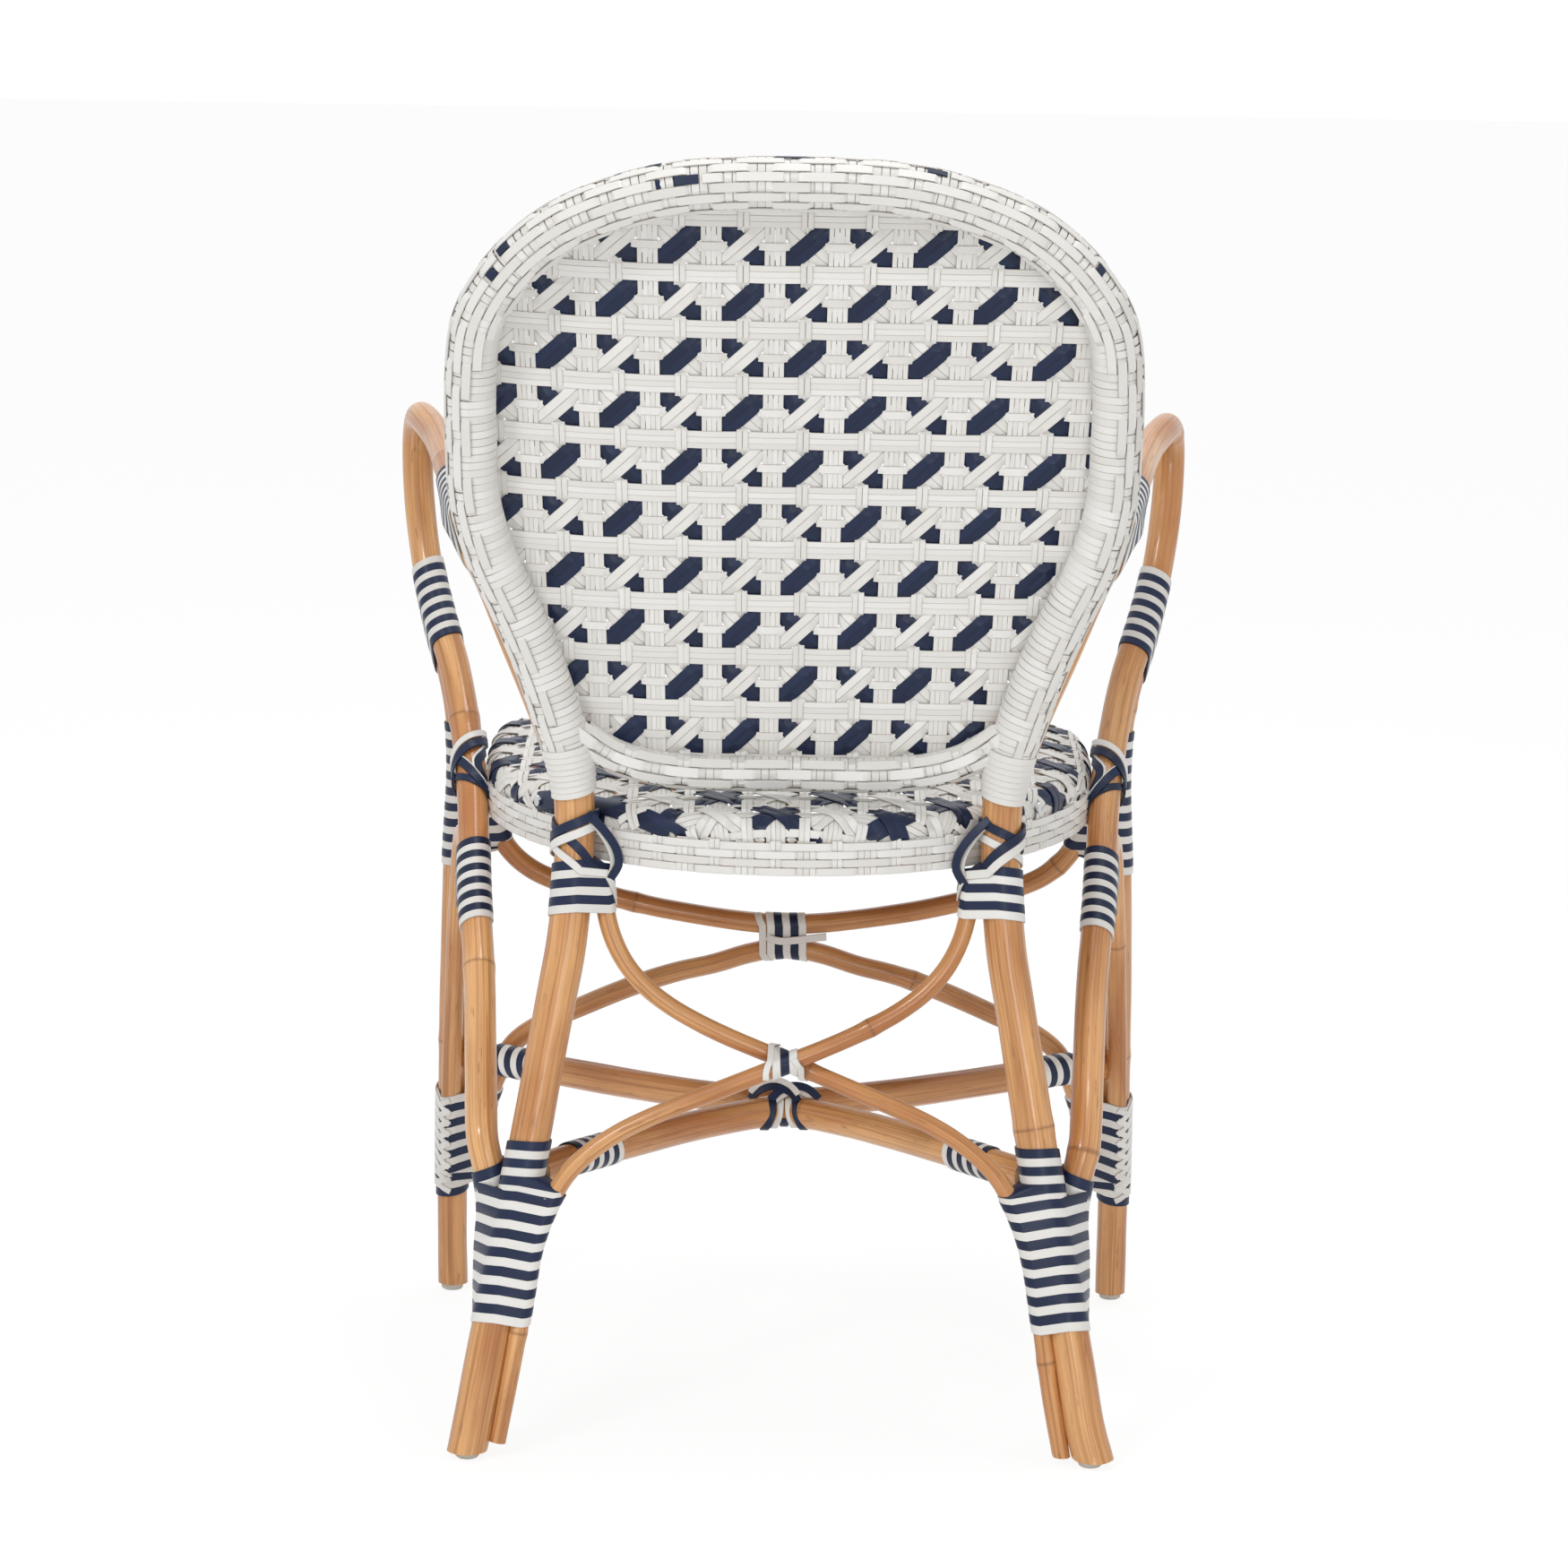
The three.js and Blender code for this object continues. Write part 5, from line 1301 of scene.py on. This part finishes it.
for word, side in SIDES:
    arm, leg = f"{word}_arm_pole", f"{word}_front_leg"
    foot_brace, post_brace = ("rear_cross_brace_rear", "rear_cross_brace_front")[::side]
    low, high = heights_of(f"{word}_rear_foot_lashing")
    knot = Lashing(f"{word}_rear_foot_lashing")
    sleeve_top = high + 3 * MM
    bundle = ["hoop_and_rear_legs", arm, foot_brace]
    knot.around(bundle, hoop_side(side, low), hoop_side(side, sleeve_top), 34 * MM)
    knot.pairs(13.4 * MM, side, navy_first=False)
    bundle = ["hoop_and_rear_legs", foot_brace]
    knot.around(bundle, hoop_side(side, sleeve_top - 2 * MM), hoop_side(side, COLLAR_TOP), 27 * MM)
    knot.pairs(13.4 * MM, side, navy_first=False)
    collar = [line_at_height(arm, sleeve_top + rise * MM, 0.2) for rise in (-2, 12)]
    knot.around([arm], *collar)
    knot.pairs(12 * MM, side, navy_first=False)
    knot.finish()

    low, high = heights_of(f"{word}_post_lashing")
    knot = Lashing(f"{word}_post_lashing")
    brace_line, brace_radius = lines[post_brace]
    brace_end = brace_line[(brace_line[:, 2] < low + BRACE_SHOWN) & (side * brace_line[:, 0] > 0)]
    lines[f"{word}_brace_end"] = (brace_end, brace_radius)
    bundle = ["hoop_and_rear_legs", f"{word}_brace_end"]
    knot.around(bundle, hoop_side(side, low), hoop_side(side, high + 6 * MM), 30 * MM)
    knot.pairs(12.3 * MM, side, navy_first=False, end=36 * MM)
    for gather, places, width in POST_LOOPS[word]:
        knot.laid(getattr(knot, gather), places, width * MM, side < 0)
    for gather, places, width in POST_BRIDGES:
        knot.bridge(getattr(knot, gather), places, (-0.5, 0.85), width * MM, side < 0)
    knot.finish()

    low, high = heights_of(f"{word}_front_foot_lashing")
    knot = Lashing(f"{word}_front_foot_lashing")
    bundle = [leg, f"{word}_side_arch", "front_lower_arch"]
    knot.around(bundle, line_at_height(leg, low), line_at_height(leg, high), 30 * MM)
    knot.pairs(12.4 * MM, side)
    for i in range(STITCH_COUNT):
        low_at = (i + 0.4) * knot.length / MM / (STITCH_COUNT + 1)
        for turned in (1, -1):
            shares = (-1, -0.4, 0.4, 1)
            places = [(low_at + 6 + turned * share * 5.5, 28 + share * 58, 1.2) for share in shares]
            knot.laid(knot.pale, places, 4.6 * MM, side < 0)
    knot.finish()

    for kind, poles, pitch in (
        ("front_seat_lashing", [leg, "front_upper_arc"], 12.0 * MM),
        ("under_seat_lashing", [arm, f"{word}_side_arch"], 12.2 * MM),
    ):
        low, high = heights_of(f"{word}_{kind}")
        knot = Lashing(f"{word}_{kind}")
        knot.around(poles, line_at_height(poles[0], low), line_at_height(poles[0], high), 34 * MM)
        knot.pairs(pitch, side, navy_first=False).finish()

    low, high = heights_of(f"{word}_seat_side_lashing")
    knot = Lashing(f"{word}_seat_side_lashing")
    knot.around([arm], line_at_height(arm, low), line_at_height(arm, high))
    for gather, places, width in SEAT_SIDE_LOOPS:
        knot.laid(getattr(knot, gather), places, width * MM, side < 0)
    knot.finish()

    low, high = heights_of(f"{word}_arm_front_lashing")
    knot = Lashing(f"{word}_arm_front_lashing")
    knot.around([arm, leg], line_at_height(arm, low, -0.15), line_at_height(arm, high, -0.15))
    knot.pairs(10.6 * MM, side).finish()
    knot = Lashing(f"{word}_arm_tip_lashing")
    knot.around([arm, f"{word}_arm_upright"], share_point(arm, 0.908), share_point(arm, 0.985))
    knot.pairs(11.4 * MM, side).finish()
    for bow, kind, in_share, out_share in (
        ("front_stretcher_bow", "front_stretcher_collar", 0.125, 0.065),
        ("rear_stretcher_bow", "rear_stretcher_collar", 0.16, 0.07),
    ):
        ends = (out_share, in_share) if side > 0 else (1 - out_share, 1 - in_share)
        knot = Lashing(f"{word}_{kind}")
        knot.around([bow], share_point(bow, ends[0]), share_point(bow, ends[1])).pairs().finish()

# %% [markdown]
# ## Post wraps
#
# Below the border each post has a tight white wrap, wide where it still covers the border's ends and as
# thin as the pole at its lower edge. It is one strip wound with a slowly growing lift.

# %% Post wraps
WRAP_PITCH = 4.4 * MM
for word, side in SIDES:
    low, high = heights_of(f"{word}_post_wrap")
    knot = Lashing(f"{word}_post_wrap")
    knot.around(["hoop_and_rear_legs"], hoop_side(side, low), hoop_side(side, high + 10 * MM))
    turns = knot.length / WRAP_PITCH
    lift = 0.2 * MM + 2.3 * MM * smooth_step(np.linspace(0, 1.1, round(turns * TURN_STEPS)))
    knot.wind(knot.pale, 0, knot.length, turns, 5.0 * MM, lift, side, shingle=0.5 * MM)
    knot.finish()

# %% [markdown]
# ## Lashings of the middle
#
# Where two arcs, two braces or two stretchers touch, a few turns go round both, and a tie crosses them
# between the poles. Their axis lies across the chair.

# %% Lashings of the middle
def middle_knot(name, poles):
    """A lashing about an axis across the chair, through the middle of its CAD box; also half its length."""
    low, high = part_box(name)
    y, z = (low.y + high.y) / 2, (low.z + high.z) / 2
    return Lashing(name).around(poles, (low.x, y, z), (high.x, y, z)), (high.x - low.x) / 2 / MM


def from_middle(half, places, reach=0.0):
    """Places given from the middle of a knot, as places from its start; reach moves them to the back."""
    return [(half + along, across, lift + reach) for along, across, lift in places]


def turns_side_by_side(knot, half, colours, pitch, width, slant):
    """Single turns in the given colours, next to each other."""
    for i, colour in enumerate(colours):
        at = (half + (i - (len(colours) - 1) / 2) * pitch) * MM
        knot.wind(getattr(knot, colour), at, at, 1.02, width * MM, 0.1 * MM * (i % 2), 1, slant * MM, 0.0)


knot, half = middle_knot("front_arc_centre_lashing", ["front_upper_arc", "front_lower_arch"])
turns_side_by_side(knot, half, ("pale", "navy", "pale", "navy", "pale"), 5.9, 6.0, 1.2)
reach = -9.5
TIE = [(17, 3, 4), (13, 1, -1), (4, -1, -1.6), (-8, 0, -1.6), (-20, 1.5, -1), (-30, 2.5, 0)]
SIDE_CURL = [(22, -20, 0.3), (20, -70, 0.3), (16, -120, 0.3), (12, -170, 0.3)]
knot.bridge(knot.pale, from_middle(half, TIE, reach), (0.0, -1.0), 5.6 * MM)
knot.laid(knot.pale, from_middle(half, SIDE_CURL), 5.4 * MM)
knot.finish()

knot, half = middle_knot("brace_centre_lashing", ["rear_cross_brace_front", "rear_cross_brace_rear"])
turns_side_by_side(knot, half, ("pale", "navy", "pale"), 5.8, 5.8, 0.4)
UPPER_CURL = [(5, 20, 1.2), (10, -30, 1.2), (13, -80, 1.0), (13, -120, 0.8)]
LOWER_CURL = [(-6, -70, 1.2), (-9, -110, 1.2), (-12, -150, 1.0), (-14, -190, 0.8)]
for curl in (UPPER_CURL, LOWER_CURL):
    knot.laid(knot.pale, from_middle(half, curl), 4.6 * MM)
knot.finish()

knot, half = middle_knot("stretcher_centre_lashing", ["front_stretcher_bow", "rear_stretcher_bow"])
CROSSED = [(-15, -185), (-13.5, -150), (-11, -118), (-9, -88), (-8.5, -60), (-8.5, -30)]
ARC = [(-10, 9, -19), (-5, 14, -15), (4, 17.5, -11), (12, 17, -9), (19, 14, -9), (25, 8, -10)]
for sign, lift in ((1, 0.2), (-1, 0.9)):
    below = [(half + sign * (along * 0.8 + 4), angle, lift) for along, angle in CROSSED]
    knot.laid(knot.pale, below, 4.8 * MM)
    knot.laid(knot.navy, [(half + sign * along, angle, lift + 0.2) for along, angle in CROSSED], 6.0 * MM)
    for gather, rise, width in ((knot.pale, 4.5 * sign, 4.6), (knot.navy, 0, 6.0)):
        arc = [(half + sign * along, up + rise + lift, front + rise / 3) for along, up, front in ARC]
        knot.bridge(gather, arc, (0.62, -0.78), width * MM)
knot.laid(knot.navy, [(half, -110, 0.1), (half, -150, 0.1), (half, -190, 0.1)], 6.0 * MM)
knot.finish()

# %% [markdown]
# ## Light
#
# The photograph is a catalogue picture: soft light from all round on a white ground. A bright, even
# surround gives that, and three large lamps add the long highlights on the lacquer.

# %% Light
WORLD_STRENGTH = 0.56
WHITE = (1, 1, 1, 1)


def seen_rays(nodes, links):
    """1 for rays that come from the camera, a mirror or a clear piece."""
    path = nodes.new("ShaderNodeLightPath")
    result = path.outputs["Is Camera Ray"]
    for name in ("Is Glossy Ray", "Is Transmission Ray"):
        larger = nodes.new("ShaderNodeMath")
        larger.operation = "MAXIMUM"
        links.new(result, larger.inputs[0])
        links.new(path.outputs[name], larger.inputs[1])
        result = larger.outputs["Value"]
    return result


world = bpy.data.worlds.new("white surround")
bpy.context.scene.world = world
world.use_nodes = True
nodes, links = world.node_tree.nodes, world.node_tree.links
background = nodes["Background"]
background.inputs["Color"].default_value = WHITE
background.inputs["Strength"].default_value = WORLD_STRENGTH
seen = nodes.new("ShaderNodeBackground")
seen.inputs["Color"].default_value = WHITE
seen.inputs["Strength"].default_value = 1.0
mix = nodes.new("ShaderNodeMixShader")
links.new(seen_rays(nodes, links), mix.inputs["Fac"])
links.new(background.outputs["Background"], mix.inputs[1])
links.new(seen.outputs["Background"], mix.inputs[2])
links.new(mix.outputs["Shader"], nodes["World Output"].inputs["Surface"])


def add_lamp(name, place, size, power):
    """A round lamp that shines on the chair's middle."""
    data = bpy.data.lights.new(name, "AREA")
    data.shape = "DISK"
    data.size = size
    data.energy = power
    lamp = bpy.data.objects.new(name, data)
    back = unit(np.array(place) - np.array([0.0, 0.0, 0.45]))
    side = unit(np.cross([0.0, 0.0, 1.0], back))
    turn = Matrix([side, np.cross(back, side), back]).transposed().to_4x4()
    turn.translation = place
    lamp.matrix_world = turn
    bpy.context.scene.collection.objects.link(lamp)


add_lamp("key", (1.7, 2.8, 3.2), 0.8, 40)
add_lamp("front", (-0.9, 4.6, 0.9), 1.4, 28)
add_lamp("top", (-0.4, 0.2, 3.4), 1.0, 22)
add_lamp("rim", (0.0, -2.6, 3.0), 2.0, 10)

# %% [markdown]
# ## Floor
#
# The ground is pure white in the photograph, yet the feet need a soft shadow to stand on. So the floor
# is mostly a white glow where the camera sees it, with a share of a plain white surface that keeps the
# shadow.

# %% Floor
FLOOR_HALF = 15.0
GLOW_SHARE = 0.85
GLOW_STRENGTH = 1.04
corners = [(-FLOOR_HALF, -FLOOR_HALF, 0), (FLOOR_HALF, -FLOOR_HALF, 0)]
corners += [(FLOOR_HALF, FLOOR_HALF, 0), (-FLOOR_HALF, FLOOR_HALF, 0)]
floor_mesh = bpy.data.meshes.new("floor")
floor_mesh.from_pydata(corners, [], [(0, 1, 2, 3)])
floor = bpy.data.objects.new("floor", floor_mesh)
bpy.context.scene.collection.objects.link(floor)
material, nodes, links, shader = new_material("white ground")
shader.inputs["Base Color"].default_value = WHITE
shader.inputs["Roughness"].default_value = 0.9
glow = nodes.new("ShaderNodeEmission")
glow.inputs["Color"].default_value = WHITE
glow.inputs["Strength"].default_value = GLOW_STRENGTH
blend = nodes.new("ShaderNodeMixShader")
links.new(scaled(nodes, links, seen_rays(nodes, links), GLOW_SHARE), blend.inputs["Fac"])
links.new(shader.outputs["BSDF"], blend.inputs[1])
links.new(glow.outputs["Emission"], blend.inputs[2])
links.new(blend.outputs["Shader"], nodes["Material Output"].inputs["Surface"])
floor_mesh.materials.append(material)
floor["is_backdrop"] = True

# %% [markdown]
# ## Camera
#
# The picture was taken from behind the chair with a long lens, a little above the seat. The numbers
# were found by laying the CAD's feet, seat and crown over the same places in the photograph.

# %% Camera
PHOTO_PIXELS = 1750
FOCAL_PIXELS = 6508
SHIFT_X_PIXELS = -5.6
SHIFT_Y_PIXELS = -31.4
SENSOR_WIDTH = 36.0
CAMERA_RISE = math.radians(9.82)
CAMERA_ROLL = math.radians(0.85)
CAMERA_DISTANCE = 4.2
CAMERA_TARGET = np.array([0.0, -0.0284, 0.454])
camera_data = bpy.data.cameras.new("camera")
camera_data.sensor_width = SENSOR_WIDTH
camera_data.lens = SENSOR_WIDTH * FOCAL_PIXELS / PHOTO_PIXELS
camera_data.shift_x = SHIFT_X_PIXELS / PHOTO_PIXELS
camera_data.shift_y = SHIFT_Y_PIXELS / PHOTO_PIXELS
back = np.array([0.0, math.cos(CAMERA_RISE), math.sin(CAMERA_RISE)])
level_right = np.array([-1.0, 0.0, 0.0])
right = math.cos(CAMERA_ROLL) * level_right + math.sin(CAMERA_ROLL) * np.cross(back, level_right)
camera = bpy.data.objects.new("camera", camera_data)
placed = Matrix([right, np.cross(back, right), back]).transposed().to_4x4()
placed.translation = CAMERA_TARGET + CAMERA_DISTANCE * back
camera.matrix_world = placed
bpy.context.scene.collection.objects.link(camera)
bpy.context.scene.camera = camera
bpy.context.scene.view_settings.view_transform = "Standard"

# %% [markdown]
# ## Size and end
#
# Last, the box of the dressed chair is measured and printed.

# %% Size and end
low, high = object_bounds()
print("scene box:", [round(value, 4) for value in (*low, *high)])
